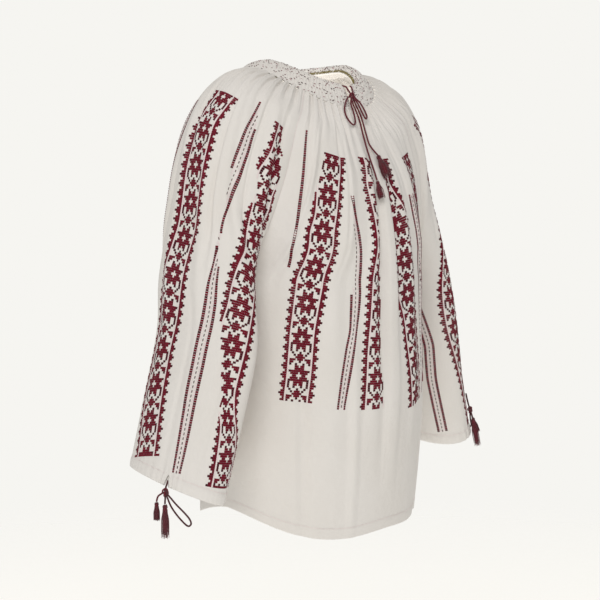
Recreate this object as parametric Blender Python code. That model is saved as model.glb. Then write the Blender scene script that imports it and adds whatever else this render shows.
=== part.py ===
"""Romanian ie blouse, worn form: four gathered panels on a smocked neck band.

Axes: +Z up, the front faces -Y, the wearer's right side is -X.  The origin is
at the middle of the neck opening, level with the crest of the neck band at the
sides.  Every length in the tables is in millimetres, MM turns it to metres.
"""
import math
from collections import namedtuple

import bmesh
import bpy
import numpy as np
from mathutils import Vector

MM = 0.001

# Cloth walls
WALL = 1.5
HEM_WALL = 2.6
HEM_ROW = 9.87
SEAM_GAP = 0.3
MITRE_LIMIT = 1.5

# Neck opening: an inside rim, a crest where the smocking rolls over, and the
# ring where the smocked band ends and the panels are sewn on
RING_SIDE = 100.0
RING_FRONT = 80.0
RING_BACK = 88.0
CREST_SIDE = 75.0
CREST_FRONT = 67.0
CREST_BACK = 73.0
RIM_SIDE = 65.0
RIM_FRONT = 58.0
RIM_BACK = 63.0
RIM_DROP = 9.0
RING_Z_SIDE = -12.0
RING_Z_FRONT = -60.0
RING_Z_BACK = -26.0
CREST_Z_FRONT = -31.0
CREST_Z_BACK = -8.0
SADDLE = 1.6
PANEL_CORNER = math.radians(45)

# Front slit, a narrow V: half widths at the crest, at the ring and at its foot
SLIT_CREST = 14.0
SLIT_RING = 6.0
SLIT_FOOT = 0.8
SLIT_END_ROW = 2.2

# Vent in each cuff's hem, a V at one column of the sleeve
VENT_ROW = 9.8
VENT_TOP = 0.8
VENT_HEM = 7.0
VENT_RIGHT = 13
VENT_LEFT = 9
CUFF_ROUND = 345.0

# Gathers
GATHERS = 15
COLUMNS = 2 * GATHERS
GATHER_DEPTH = 1.9
GATHER_FADE_ROW = 2.6
BAND_PLEATS = 120
BAND_INNER_STEP = 4
BAND_FLOOR = 2.5
BandRow = namedtuple("BandRow", "place pleat")
BAND_ROWS = (BandRow(0.0, 0.3), BandRow(0.55, 0.4), BandRow(1.05, 1.0),
             BandRow(1.5, 1.0), BandRow(2.0, 0.35))

# Upper levels, from the neck ring to the armpit.  top is the outermost line of
# the sleeve, in the point across its section, arc how far round the section the
# sleeve panel reaches on each side of top, turn the direction in which the
# front and back panels leave the seam (0 sideways, 90 straight on)
Level = namedtuple("Level", "name top_out top_z in_out in_z mid_y half_y arc "
                   "front_turn back_turn front_y front_z back_y back_z")
LEVELS = (
    Level("neck ring", 100, -12, -100, -12, 0, 88, 45, 45, 45, -80, -60, 88, -26),
    Level("yoke", 133, -17, -38, -152, -1, 87, 58, 36, 38, -91, -82, 97, -50),
    Level("shoulder", 165, -37, 25, -176, -2, 80, 75, 32, 34, -103, -108, 104, -85),
    Level("upper arm", 188, -72, 76, -194, -3, 76, 93, 36, 38, -121, -145, 108, -128),
    Level("chest", 200, -116, 112, -214, -2, 72, 112, 48, 50, -130, -185, 110, -170),
    Level("under bust", 208, -165, 138, -237, -2, 70, 138, 66, 68, -136, -228, 111, -215),
    Level("armpit", 218, -215, 156, -268, -4, 71, 180, 88, 88, -139, -272, 111, -265),
)
ARMPIT = len(LEVELS) - 1

# Sleeve below the armpit, a closed tube
Tube = namedtuple("Tube", "name top_out top_z in_out in_z mid_y half_y front_drop")
TUBES = (
    Tube("below armpit", 228, -262, 164, -298, -8, 74, 0),
    Tube("elbow", 239, -326, 169, -352, -15, 76, 3),
    Tube("forearm", 266, -405, 189, -432, -15, 72, 8),
    Tube("cuff", 297, -491, 217, -518, -16, 66, 14),
)

# Body below the armpit
Body = namedtuple("Body", "name side_out side_y side_z front_y front_z back_y back_z "
                  "corner_drop")
BODIES = (
    Body("waist", 156, -3, -330, -141, -335, 110, -332, 0),
    Body("hip", 159, 0, -398, -145, -407, 112, -404, 1),
    Body("low hip", 157, 0, -478, -140, -496, 116, -490, 5),
    Body("hem", 153, 0, -553, -131, -588, 120, -578, 12),
)
LAST_ROW = ARMPIT + len(BODIES)

# Rows of the solids, in steps of the tables above
ROWS = (0, 0.35, 0.8, 1.3, 1.8, 2.35, 2.9, 3.5, 4.1, 4.7, 5.2, 5.6, 6,
        6.6, 7.3, 8.1, 9.0, 9.86, 9.88, 10)

SIDE_REACH = 0.40
CENTRE_REACH = 0.52
RISE = 0.25
SAMPLES = 96
STEP = 0.02
SHARE_STEP = 0.004
ANGLE_STEP = 0.01
EDGE_GATHER = 0.6
FOLD_FLAT = 0.7
ROUTE_SAMPLES = 12

# Folds.  place and width are shares of the panel's width, from the wearer's
# right on the body and from the front seam on a sleeve; depth is out from the
# cloth, minus for a trough; lean is how far place moves a row
Fold = namedtuple("Fold", "place width depth start end lean")
FRONT_FOLDS = (
    Fold(0.10, 0.050, 4, 1.5, 5.2, 0.0),
    Fold(0.30, 0.045, 4, 1.0, 9.5, 0.0),
    Fold(0.42, 0.040, 5, 1.5, 9.0, 0.0),
    Fold(0.50, 0.035, 7, 2.2, 9.6, 0.0),
    Fold(0.60, 0.040, 5, 1.5, 9.0, 0.0),
    Fold(0.72, 0.045, 4, 1.2, 9.0, 0.0),
    Fold(0.90, 0.050, 4, 1.5, 5.2, 0.0),
)
BACK_FOLDS = (
    Fold(0.12, 0.050, 4, 1.5, 5.2, 0.0),
    Fold(0.28, 0.045, 5, 1.0, 9.2, 0.0),
    Fold(0.41, 0.040, 4, 1.5, 8.6, 0.0),
    Fold(0.52, 0.040, 6, 1.2, 9.4, 0.0),
    Fold(0.63, 0.040, 4, 1.5, 9.0, 0.0),
    Fold(0.75, 0.045, 5, 1.0, 9.0, 0.0),
    Fold(0.89, 0.050, 4, 1.5, 5.2, 0.0),
)
SLEEVE_FOLDS = (
    Fold(0.14, 0.045, 4, 1.2, 5.0, 0.0),
    Fold(0.30, 0.045, 5, 1.0, 9.0, 0.0),
    Fold(0.45, 0.045, 4, 2.0, 9.0, 0.0),
    Fold(0.60, 0.045, 5, 1.5, 9.3, 0.0),
    Fold(0.74, 0.045, 4, 1.0, 8.0, 0.0),
    Fold(0.88, 0.045, 4, 1.2, 5.0, 0.0),
)

# Cords, knots and tassels
CORD = 2.2
CORD_SPACING = 5.5
CORD_RESOLUTION = 2
END_TOUCH = 0.45
TASSEL_TOUCH = 0.7
CORD_START = 1.5
STRING_STEP = (2.5, -2.5, 0.5)
STRING_LIFT = (0.0, -3.0, 0.0)
LEFT_LEAN = 8.0
KNOT_RADII = (5.0, 4.2, 5.6)
STRANDS = 10
STRAND_FLARE = 0.8
STRAND_RAGGED = 0.14
TASSEL_NECK = 0.82
Tassel = namedtuple("Tassel", "head skirt length")
LONG_TASSEL = Tassel(3.0, 4.4, 30)
SHORT_TASSEL = Tassel(2.8, 4.0, 22)
CUFF_TASSEL = Tassel(3.3, 4.8, 40)

# Routes of the neck tie over the front: x, z and height above the cloth
Over = namedtuple("Over", "x z lift")
NECK_KNOT = Over(-5, -45, 4.7)
NECK_BIG_LOOP = (
    Over(-12, -46, 4.0), Over(-20, -53, 3.0), Over(-27, -62, 2.2), Over(-29, -71, 2.0),
    Over(-26, -78, 2.0), Over(-20, -81, 2.0), Over(-15, -76, 2.0), Over(-12, -66, 2.2),
    Over(-11.5, -57, 2.8), Over(-10, -51, 4.0))
NECK_NARROW_LOOP = (
    Over(1.5, -50, 7.0), Over(6, -58, 6.2), Over(8, -67, 5.6), Over(6, -74, 5.4),
    Over(2.5, -71, 5.4), Over(0, -62, 5.8), Over(-2.5, -53.5, 7.4))
NECK_TAIL_HIGH = (
    Over(-1.6, -52.5, 2.6), Over(-0.5, -62, 2.0), Over(0, -74, 1.9), Over(-1.5, -90, 1.9),
    Over(-2.5, -104, 2.4), Over(0, -112, 3.6), Over(2.5, -118, 4.6))
NECK_HIGH_END = Over(2, -148, 7.0)
NECK_TAIL_LOW = (
    Over(-6.2, -53, 2.6), Over(-5.8, -62, 2.0), Over(-5.5, -74, 1.9), Over(-8, -92, 1.9),
    Over(-10, -108, 2.1), Over(-14, -126, 2.8), Over(-17.5, -141, 3.8), Over(-18.5, -149, 4.6))
NECK_LOW_END = Over(-16, -172, 7.0)

# Routes of the cuff ties: along the hem towards the front, down, and out
Hung = namedtuple("Hung", "along down out")
CUFF_SLOPE = 0.18
VENT_EXIT_ROW = 9.93
RIGHT_KNOT = Hung(-1.5, 13, 4)
RIGHT_STRING = (Hung(0, 0, 0), Hung(0, 2.5, 1.5), Hung(-1, 7, 3.4))
RIGHT_LOOP = (Hung(4.5, 18, 4.5), Hung(13, 26, 5), Hung(23, 34, 5.5), Hung(30, 41, 5.5),
              Hung(32, 47, 5), Hung(28, 50, 4.5), Hung(20, 45, 4), Hung(11, 36, 4),
              Hung(4, 26, 4))
RIGHT_TAIL = (Hung(-2, 21, 3.6), Hung(-2.5, 27, 3.4))
RIGHT_SIDE_TAIL = (Hung(-8, 16, 4), Hung(-12, 20, 4), Hung(-13, 25, 4))
LEFT_KNOT = Hung(0, -26, 5.6)
LEFT_STRING = (Hung(0, 0, 0), Hung(0, 0, 3.0), Hung(0, -8, 3.6), Hung(0, -17, 4.2))
LEFT_LOOP = (Hung(-4, -33, 4.6), Hung(-6, -41, 4.0), Hung(-4, -48, 3.8), Hung(0.5, -48, 3.8),
             Hung(3.5, -41, 4.0), Hung(3.5, -34, 4.6))
LEFT_TAIL = (Hung(5, -20, 6.6), Hung(7, -15, 7.2))
LEFT_SIDE_TAIL = (Hung(-5, -20, 6.6), Hung(-7, -14, 7.2))

Finish = namedtuple("Finish", "colour roughness")
CLOTH = Finish((0.72, 0.68, 0.62, 1.0), 0.9)
THREAD = Finish((0.105, 0.010, 0.018, 1.0), 0.7)


def spline(values, at):
    """Smooth curve through the rows of a table, read at fractional row numbers."""
    values = np.asarray(values, float)
    last = len(values) - 1
    slope = np.gradient(values, axis=0)
    low = min(max(int(math.floor(at)), 0), last - 1)
    t = at - low
    keep = (1 + 2 * t) * (1 - t) ** 2
    return (keep * values[low] + t * (1 - t) ** 2 * slope[low]
            + (1 - keep) * values[low + 1] - t * t * (1 - t) * slope[low + 1])


def unit(vectors):
    """Vectors scaled to length one."""
    return vectors / np.linalg.norm(vectors, axis=-1, keepdims=True)


def ease(value):
    """Go smoothly from 0 to 1."""
    value = np.clip(value, 0.0, 1.0)
    return value * value * (3 - 2 * value)


def even(points, shares):
    """Points of a curve at shares of its length."""
    steps = np.linalg.norm(np.diff(points, axis=0), axis=1)
    length = np.concatenate([[0.0], np.cumsum(steps)])
    wanted = np.asarray(shares) * length[-1]
    return np.stack([np.interp(wanted, length, points[:, k]) for k in range(3)], 1)


def oval(angle, side, y_front, y_back, z_side, z_front, z_back):
    """Saddle shaped oval round the neck, angle 0 at the front, 90 at the right side."""
    angle = np.asarray(angle, float)
    front = np.maximum(np.cos(angle), 0) ** SADDLE
    back = np.maximum(-np.cos(angle), 0) ** SADDLE
    z = z_side + (z_front - z_side) * front + (z_back - z_side) * back
    depth = np.where(np.cos(angle) > 0, y_front, y_back)
    return np.stack([-side * np.sin(angle), -depth * np.cos(angle), z], -1)


def ring(angle):
    """Line where the band meets the panels."""
    return oval(angle, RING_SIDE, RING_FRONT, RING_BACK,
                RING_Z_SIDE, RING_Z_FRONT, RING_Z_BACK)


def ring_angle(points):
    """Angles of points of the ring, negative on the wearer's left."""
    depth = np.where(points[:, 1] < 0, RING_FRONT, RING_BACK)
    return np.arctan2(-points[:, 0] / RING_SIDE, -points[:, 1] / depth)


def ring_share(start, end, shares):
    """Points of the ring from one angle to another, at shares of the length."""
    return even(ring(np.linspace(start, end, SAMPLES)), shares)


SLEEVE_TABLE = np.array(
    [(l.top_out, l.top_z, l.in_out, l.in_z, l.mid_y, l.half_y, l.arc, 0) for l in LEVELS]
    + [(t.top_out, t.top_z, t.in_out, t.in_z, t.mid_y, t.half_y, 180, t.front_drop)
       for t in TUBES], float)
UPPER_TABLE = np.array(
    [(l.front_turn, l.back_turn, l.front_y, l.front_z, l.back_y, l.back_z, 0)
     for l in LEVELS]
    + [(90, 90, b.front_y, b.front_z, b.back_y, b.back_z, b.corner_drop)
       for b in BODIES], float)
SIDE_TABLE = np.array(
    [(LEVELS[-1].in_out, LEVELS[-1].mid_y, LEVELS[-1].in_z)]
    + [(b.side_out, b.side_y, b.side_z) for b in BODIES], float)


def sleeve_oval(row):
    """Plain section of the right sleeve at a row, from the front seam to the back."""
    top_out, top_z, in_out, in_z, mid_y, half_y, arc, drop = spline(SLEEVE_TABLE, row)
    reach = math.radians(180 if row >= ARMPIT else min(arc, 179.9))
    angle = np.linspace(-reach, reach, 2 * SAMPLES)
    out = (top_out + in_out) / 2 + (top_out - in_out) / 2 * np.cos(angle)
    z = (top_z + in_z) / 2 + (top_z - in_z) / 2 * np.cos(angle) + drop * np.sin(angle)
    return np.stack([-out, mid_y + half_y * np.sin(angle), z], 1)


def neck_blend(row):
    """How much of the neck ring's own form a row still has."""
    return 1 - ease(row / 2.0)


def sleeve_row(row, shares):
    """Base line of the right sleeve at a row; share 0 front seam, 1 back seam."""
    points = even(sleeve_oval(row), shares)
    blend = neck_blend(row)
    if blend > 0:
        on_ring = ring_share(PANEL_CORNER, math.pi - PANEL_CORNER, shares)
        points = points + blend * (on_ring - even(sleeve_oval(0), shares))
    return points


def half_oval(row, back):
    """Right half section of the front or back panel, from the seam to the middle."""
    front_turn, back_turn, front_y, front_z, back_y, back_z, drop = spline(UPPER_TABLE, row)
    turn, y, z, way = ((back_turn, back_y, back_z, 1) if back
                       else (front_turn, front_y, front_z, -1))
    if row <= ARMPIT:
        seam = sleeve_row(row, [1.0 if back else 0.0])[0]
    else:
        out, side_y, side_z = spline(SIDE_TABLE, row - ARMPIT)
        seam = np.array([-out, side_y, side_z])
    turn = math.radians(min(turn, 90))
    middle = np.array([0.0, y, z])
    chord = np.linalg.norm(middle - seam)
    lead = seam + SIDE_REACH * chord * np.array([math.cos(turn), way * math.sin(turn), 0])
    lead[2] = seam[2] + RISE * (z - seam[2])
    near = np.array([CENTRE_REACH * seam[0], y, z])
    t = np.linspace(0, 1, SAMPLES)[:, None]
    curve = ((1 - t) ** 3 * seam + 3 * t * (1 - t) ** 2 * lead
             + 3 * t * t * (1 - t) * near + t ** 3 * middle)
    curve[:, 2] -= drop * (16 * t * t * (1 - t) ** 2)[:, 0]
    return curve


def body_half(row, back, shares):
    """Base line of the right half of the front or back; share 0 seam, 1 middle."""
    points = even(half_oval(row, back), shares)
    blend = neck_blend(row)
    if blend > 0:
        corner = math.pi - PANEL_CORNER if back else PANEL_CORNER
        middle = math.pi if back else 0.0
        on_ring = ring_share(corner, middle, shares)
        points = points + blend * (on_ring - even(half_oval(0, back), shares))
    return points


def slit_half(row):
    """Half width of the front slit at a row."""
    return SLIT_FOOT + (SLIT_RING - SLIT_FOOT) * (1 - ease(row / SLIT_END_ROW))


def body_row(row, back, shares):
    """Base line of a whole front or back panel, share 0 at the wearer's right."""
    shares = np.asarray(shares, float)
    half = 1 - np.abs(1 - 2 * shares)
    if not back:
        line = half_oval(row, False)
        length = np.linalg.norm(np.diff(line, axis=0), axis=1).sum()
        half = half * (1 - slit_half(row) / length)
    points = body_half(row, back, half)
    points[:, 0] *= np.where(shares > 0.5, -1, 1)
    return points


def front_row(row, shares):
    return body_row(row, False, shares)


def back_row(row, shares):
    return body_row(row, True, shares)


def row_normals(line, row, shares, outward):
    """Unit normals of a panel's base at a row, by differences."""
    low = max(row - STEP, 0)
    high = min(row + STEP, LAST_ROW)
    down = line(high, shares) - line(low, shares)
    left = line(row, np.clip(shares - SHARE_STEP, 0, 1))
    right = line(row, np.clip(shares + SHARE_STEP, 0, 1))
    return outward * unit(np.cross(right - left, down))


def ring_normal(angle):
    """Unit normals of the cloth where the band meets the panels."""
    along = ring(angle + ANGLE_STEP) - ring(angle - ANGLE_STEP)
    down = ring(angle) - crest(angle)
    return unit(np.cross(along, down))


def crest(angle):
    """Top line of the band."""
    return oval(angle, CREST_SIDE, CREST_FRONT, CREST_BACK, 0, CREST_Z_FRONT, CREST_Z_BACK)


def rim(angle):
    """Inside edge of the band."""
    return oval(angle, RIM_SIDE, RIM_FRONT, RIM_BACK,
                -RIM_DROP, CREST_Z_FRONT - RIM_DROP, CREST_Z_BACK - RIM_DROP)


def fold_height(folds, row, shares):
    """How far the folds push the cloth out at a row."""
    height = np.zeros(len(shares))
    for fold in folds:
        away = (shares - fold.place - fold.lean * (row - fold.start)) / fold.width
        ridge = np.where(np.abs(away) < 1, np.cos(away * math.pi / 2) ** 2, 0)
        run = (row - fold.start) / (fold.end - fold.start)
        if 0 < run < 1:
            height += fold.depth * ridge * math.sin(math.pi * run) ** FOLD_FLAT
    return height


def gather_height(row, count):
    """Zigzag of the gathers at a row, fading down the panel."""
    depth = GATHER_DEPTH * (1 - ease(row / GATHER_FADE_ROW))
    signs = np.where(np.arange(count) % 2 == 0, -1.0, 1.0)
    return depth * signs


def seam_frame(row, back):
    """Mitre and across directions at the right seam between sleeve and body."""
    if row >= ARMPIT:
        down = np.array([0.0, 0.0, -1.0])
        return down, np.array([1.0, 0.0, 0.0])
    edge = np.array([1.0 if back else 0.0])
    body_edge = np.array([0.0])
    sleeve_out = row_normals(sleeve_row, row, edge, 1)[0]
    body_out = row_normals(back_row if back else front_row, row, body_edge,
                           1 if back else -1)[0]
    if row == 0:
        angle = math.pi - PANEL_CORNER if back else PANEL_CORNER
        sleeve_out = body_out = ring_normal(np.array([angle]))[0]
    mitre = unit(sleeve_out + body_out)
    low = sleeve_row(max(row - STEP, 0), edge)[0]
    high = sleeve_row(min(row + STEP, ARMPIT), edge)[0]
    across = unit(np.cross(mitre, high - low))
    if across[0] < 0:
        across = -across
    return mitre, across


def panel_points(line, row, shares, outward, folds):
    """Outer point, inward direction times wall, of each column at a row."""
    base = line(row, shares)
    normals = row_normals(line, row, shares, outward)
    if row == 0:
        normals = ring_normal(ring_angle(base))
    height = gather_height(row, len(shares)) + fold_height(folds, row, shares)
    height[[0, -1]] = 0
    height[[1, -2]] *= EDGE_GATHER
    wall = HEM_WALL if row > HEM_ROW else WALL
    outer = base + normals * (height + (wall - WALL) / 2)[:, None]
    return outer, -normals * wall


def lean_depth(depth, mitre):
    """Depth of the wall at a seam, turned halfway to the seam's mitre."""
    wall = np.linalg.norm(depth)
    both = unit(unit(mitre) - depth / wall)
    return -both * wall * min(1 / max(-both @ depth / wall, 0.1), MITRE_LIMIT)


def body_panel(back):
    """Grids of outer and inner points of the front or the back panel."""
    line = back_row if back else front_row
    shares = panel_shares(back)
    outer_rows = []
    inner_rows = []
    for row in ROWS:
        outer, depth = panel_points(line, row, shares, 1 if back else -1,
                                    BACK_FOLDS if back else FRONT_FOLDS)
        mitre, across = seam_frame(row, back)
        if row > ARMPIT:
            mitre, across = np.array([-1.0, 0, 0]), np.array([0, 1.0 if back else -1.0, 0])
        if row == ARMPIT:
            across = across + np.array([0, 1.0 if back else -1.0, 0])
        for edge, mirror in ((0, 1), (-1, -1)):
            turn = np.array([mirror, 1, 1])
            outer[edge] += across * turn * SEAM_GAP / 2
            depth[edge] = lean_depth(depth[edge], mitre * turn)
        if row == 0:
            outer += down_ring(outer) * SEAM_GAP / 2
        outer_rows.append(outer)
        inner_rows.append(outer + depth)
    return np.array(outer_rows), np.array(inner_rows)


def panel_shares(back):
    """Shares of the columns; the front has one narrow column more, at its slit."""
    if back:
        return np.linspace(0, 1, COLUMNS + 1)
    right = np.linspace(0, 0.5, COLUMNS // 2 + 1)
    right[-1] = 0.4999999
    return np.concatenate([right, 1 - right[::-1]])


def down_ring(points):
    """Unit directions down the cloth at points of the neck ring."""
    angle = ring_angle(points)
    return unit(ring(angle) - crest(angle))


def sleeve_shares(row, vent):
    """Shares of the columns; a narrow one stands at the cuff's vent."""
    shares = np.linspace(0, 1, COLUMNS + 1)
    half = (VENT_HEM if row == LAST_ROW else VENT_TOP) / CUFF_ROUND / 2
    place = shares[vent]
    return np.concatenate([shares[:vent], [place - half, place + half], shares[vent + 1:]])


def sleeve_panel(vent):
    """Grids of outer and inner points of a right sleeve."""
    outer_rows = []
    inner_rows = []
    for row in ROWS:
        shares = sleeve_shares(row, vent)
        outer, depth = panel_points(sleeve_row, row, shares, 1, SLEEVE_FOLDS)
        for edge, back in ((0, False), (-1, True)):
            away = np.array([0, 1.0 if back else -1.0, 0])
            if row > ARMPIT:
                outer[edge] += away * SEAM_GAP / 2
                continue
            mitre, across = seam_frame(row, back)
            if row == ARMPIT:
                across = across - away
            outer[edge] -= across * SEAM_GAP / 2
            depth[edge] = lean_depth(depth[edge], mitre)
        if row == 0:
            outer += down_ring(outer) * SEAM_GAP / 2
        outer_rows.append(outer)
        inner_rows.append(outer + depth)
    return np.array(outer_rows), np.array(inner_rows)


def wall_mesh(outer, inner, missing=()):
    """One closed wall between two grids of points, less the cells in missing."""
    mesh = bmesh.new()
    rows, columns = outer.shape[:2]
    sides = []
    for grid in (outer, inner):
        sides.append([[mesh.verts.new(point * MM) for point in line] for line in grid])
    top, under = sides
    cells = {(i, j) for i in range(rows - 1) for j in range(columns - 1)} - set(missing)
    for i, j in sorted(cells):
        for side in (top, under):
            a, b = side[i][j], side[i][j + 1]
            c, d = side[i + 1][j + 1], side[i + 1][j]
            mesh.faces.new((a, b, c))
            mesh.faces.new((a, c, d))
        borders = (((i - 1, j), (i, j), (i, j + 1)), ((i + 1, j), (i + 1, j), (i + 1, j + 1)),
                   ((i, j - 1), (i, j), (i + 1, j)), ((i, j + 1), (i, j + 1), (i + 1, j + 1)))
        for beside, first, second in borders:
            if beside not in cells:
                a, b = top[first[0]][first[1]], top[second[0]][second[1]]
                c, d = under[second[0]][second[1]], under[first[0]][first[1]]
                mesh.faces.new((a, b, c))
                mesh.faces.new((a, c, d))
    loose = [vertex for vertex in mesh.verts if not vertex.link_faces]
    bmesh.ops.delete(mesh, geom=loose, context="VERTS")
    return mesh


def plain_material(name, finish):
    """A Principled material of one colour."""
    material = bpy.data.materials.new(name)
    material.use_nodes = True
    shader = material.node_tree.nodes["Principled BSDF"]
    shader.inputs["Base Color"].default_value = finish.colour
    shader.inputs["Roughness"].default_value = finish.roughness
    shader.inputs["Metallic"].default_value = 0.0
    return material


def add_object(name, mesh, finish, smooth_angle=50):
    """Link a bmesh as one named object with its own material, its faces pointing out."""
    bmesh.ops.recalc_face_normals(mesh, faces=mesh.faces)
    data = bpy.data.meshes.new(name)
    mesh.to_mesh(data)
    mesh.free()
    data.materials.append(plain_material(name, finish))
    data.shade_smooth()
    data.set_sharp_from_angle(angle=math.radians(smooth_angle))
    thing = bpy.data.objects.new(name, data)
    bpy.context.scene.collection.objects.link(thing)
    return thing


def add_panels():
    """Front, back and the two sleeves."""
    outer, inner = body_panel(False)
    slit_cell = COLUMNS // 2
    open_cells = [(i, slit_cell) for i, row in enumerate(ROWS[1:]) if row <= SLIT_END_ROW + 0.2]
    add_object("front_panel", wall_mesh(outer, inner, open_cells), CLOTH)
    outer, inner = body_panel(True)
    add_object("back_panel", wall_mesh(outer, inner), CLOTH)
    for name, vent, turn in (("sleeve_right", VENT_RIGHT, 1), ("sleeve_left", VENT_LEFT, -1)):
        outer, inner = sleeve_panel(vent)
        side = np.array([turn, 1, 1])
        open_cells = [(i, vent) for i, row in enumerate(ROWS[:-1]) if row > VENT_ROW]
        add_object(name, wall_mesh(outer * side, inner * side, open_cells), CLOTH)


def band_line(place, angle):
    """Line round the band: place 0 at the rim, 1 at the crest, 2 at the ring."""
    return spline(np.stack([rim(angle), crest(angle), ring(angle)]), place)


def band_half_gap(place):
    """Half width of the V in the band at a place."""
    return SLIT_RING + (SLIT_CREST - SLIT_RING) * (1 - ease(place / 2))


def band_angles(place, count):
    """Even angles round the band at a place, from one side of the V to the other."""
    side = np.interp(place, (0, 1, 2), (RIM_SIDE, CREST_SIDE, RING_SIDE))
    start = math.asin(band_half_gap(place) / side)
    return np.linspace(start, 2 * math.pi - start, count)


def band_normals(place, angle):
    """Unit normals of the visible face of the band."""
    if place == 2:
        return ring_normal(angle)
    along = band_line(place, angle + ANGLE_STEP) - band_line(place, angle - ANGLE_STEP)
    down = band_line(min(place + STEP, 2), angle) - band_line(max(place - STEP, 0), angle)
    return unit(np.cross(along, down))


def add_neck_band():
    """Smocked band: pleats raised on its outer points over a plain inside."""
    outer_count = 2 * BAND_PLEATS + 1
    inner_count = outer_count // BAND_INNER_STEP + 1
    mesh = bmesh.new()
    outer = []
    inner = []
    for number, (place, pleat) in enumerate(BAND_ROWS):
        angle = band_angles(place, outer_count)
        signs = np.where((np.arange(outer_count) + number) % 2 == 0, 1.0, -1.0)
        signs[[0, -1]] = 0
        points = band_line(place, angle) + band_normals(place, angle) * pleat * signs[:, None]
        few = band_angles(place, inner_count)
        under = band_line(place, few) - band_normals(place, few) * BAND_FLOOR
        if place == 2:
            points -= down_ring(points) * SEAM_GAP / 2
            under -= down_ring(under) * SEAM_GAP / 2
        outer.append([mesh.verts.new(point * MM) for point in points])
        inner.append([mesh.verts.new(point * MM) for point in under])
    for side in (outer, inner):
        for upper, lower in zip(side, side[1:]):
            for j in range(len(upper) - 1):
                a, b, c, d = upper[j], upper[j + 1], lower[j + 1], lower[j]
                if (a.co - c.co).length < (b.co - d.co).length:
                    mesh.faces.new((a, b, c))
                    mesh.faces.new((a, c, d))
                else:
                    mesh.faces.new((a, b, d))
                    mesh.faces.new((b, c, d))
    for end in (0, -1):
        many = outer[end]
        few = inner[end]
        for j in range(len(few) - 1):
            for k in range(BAND_INNER_STEP):
                first = j * BAND_INNER_STEP + k
                mesh.faces.new((many[first], many[first + 1], few[j]))
            mesh.faces.new((many[(j + 1) * BAND_INNER_STEP], few[j + 1], few[j]))
        for i in range(len(BAND_ROWS) - 1):
            mesh.faces.new((outer[i][end], outer[i + 1][end], inner[i + 1][end]))
            mesh.faces.new((outer[i][end], inner[i + 1][end], inner[i][end]))
    add_object("neck_band", mesh, CLOTH)


def smooth_route(points, spacing):
    """Points at an even spacing on a smooth curve through a route's own points."""
    points = np.asarray(points, float)
    fine = np.array([spline(points, at) for at in
                     np.linspace(0, len(points) - 1, ROUTE_SAMPLES * len(points))])
    length = np.linalg.norm(np.diff(fine, axis=0), axis=1).sum()
    return even(fine, np.linspace(0, 1, max(int(round(length / spacing)), 2) + 1))


def add_cord(name, points):
    """A cord as a round bevelled curve with filled caps."""
    data = bpy.data.curves.new(name, "CURVE")
    data.dimensions = "3D"
    data.bevel_depth = CORD / 2 * MM
    data.bevel_resolution = CORD_RESOLUTION
    data.use_fill_caps = True
    path = smooth_route(points, CORD_SPACING) * MM
    line = data.splines.new("POLY")
    line.points.add(len(path) - 1)
    for point, place in zip(line.points, path):
        point.co = (*place, 1)
    data.materials.append(plain_material(name, THREAD))
    thing = bpy.data.objects.new(name, data)
    bpy.context.scene.collection.objects.link(thing)


def add_knot(name, centre):
    """A small round knot."""
    mesh = bmesh.new()
    bmesh.ops.create_icosphere(mesh, subdivisions=2, radius=1)
    for vertex in mesh.verts:
        vertex.co = [(c + v * r) * MM for c, v, r in zip(centre, vertex.co, KNOT_RADII)]
    add_object(name, mesh, THREAD, 80)


def add_tassel(name, top, kind, way):
    """A tassel: a bound head whose underside is drawn out into strands."""
    mesh = bmesh.new()
    neck = kind.head * TASSEL_NECK
    profile = ((kind.head * 0.45, 0.0), (kind.head, -kind.head * 0.8),
               (neck, -kind.head * 1.7), (neck * 0.98, -kind.head * 2.1))
    rings = []
    for radius, z in profile:
        rings.append([mesh.verts.new((radius * math.cos(a), radius * math.sin(a), z))
                      for a in (2 * math.pi * k / STRANDS for k in range(STRANDS))])
    mesh.faces.new(rings[0])
    for upper, lower in zip(rings, rings[1:]):
        for k in range(STRANDS):
            after = (k + 1) % STRANDS
            mesh.faces.new((upper[k], upper[after], lower[after], lower[k]))
    base_z = profile[-1][1]
    middle = [mesh.verts.new((v.co.x * 0.5, v.co.y * 0.5, base_z)) for v in rings[-1]]
    mesh.faces.new(middle)
    roots = []
    for k in range(STRANDS):
        after = (k + 1) % STRANDS
        roots.append(mesh.faces.new((rings[-1][k], rings[-1][after], middle[after], middle[k])))
    bmesh.ops.recalc_face_normals(mesh, faces=mesh.faces)
    bmesh.ops.inset_individual(mesh, faces=roots, thickness=neck * 0.09)
    strands = bmesh.ops.extrude_discrete_faces(mesh, faces=roots)["faces"]
    for number, face in enumerate(strands):
        centre = face.calc_center_median()
        spread = kind.skirt / neck
        drop = kind.length * (1 - STRAND_RAGGED * (number * 7 % STRANDS) / STRANDS)
        for vertex in face.verts:
            vertex.co.x = centre.x * spread + (vertex.co.x - centre.x) * STRAND_FLARE
            vertex.co.y = centre.y * spread + (vertex.co.y - centre.y) * STRAND_FLARE
            vertex.co.z = base_z - drop
    turn = Vector((0, 0, -1)).rotation_difference(Vector(way))
    for vertex in mesh.verts:
        vertex.co = (Vector(top) + turn @ vertex.co) * MM
    add_object(name, mesh, THREAD, 60)


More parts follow.
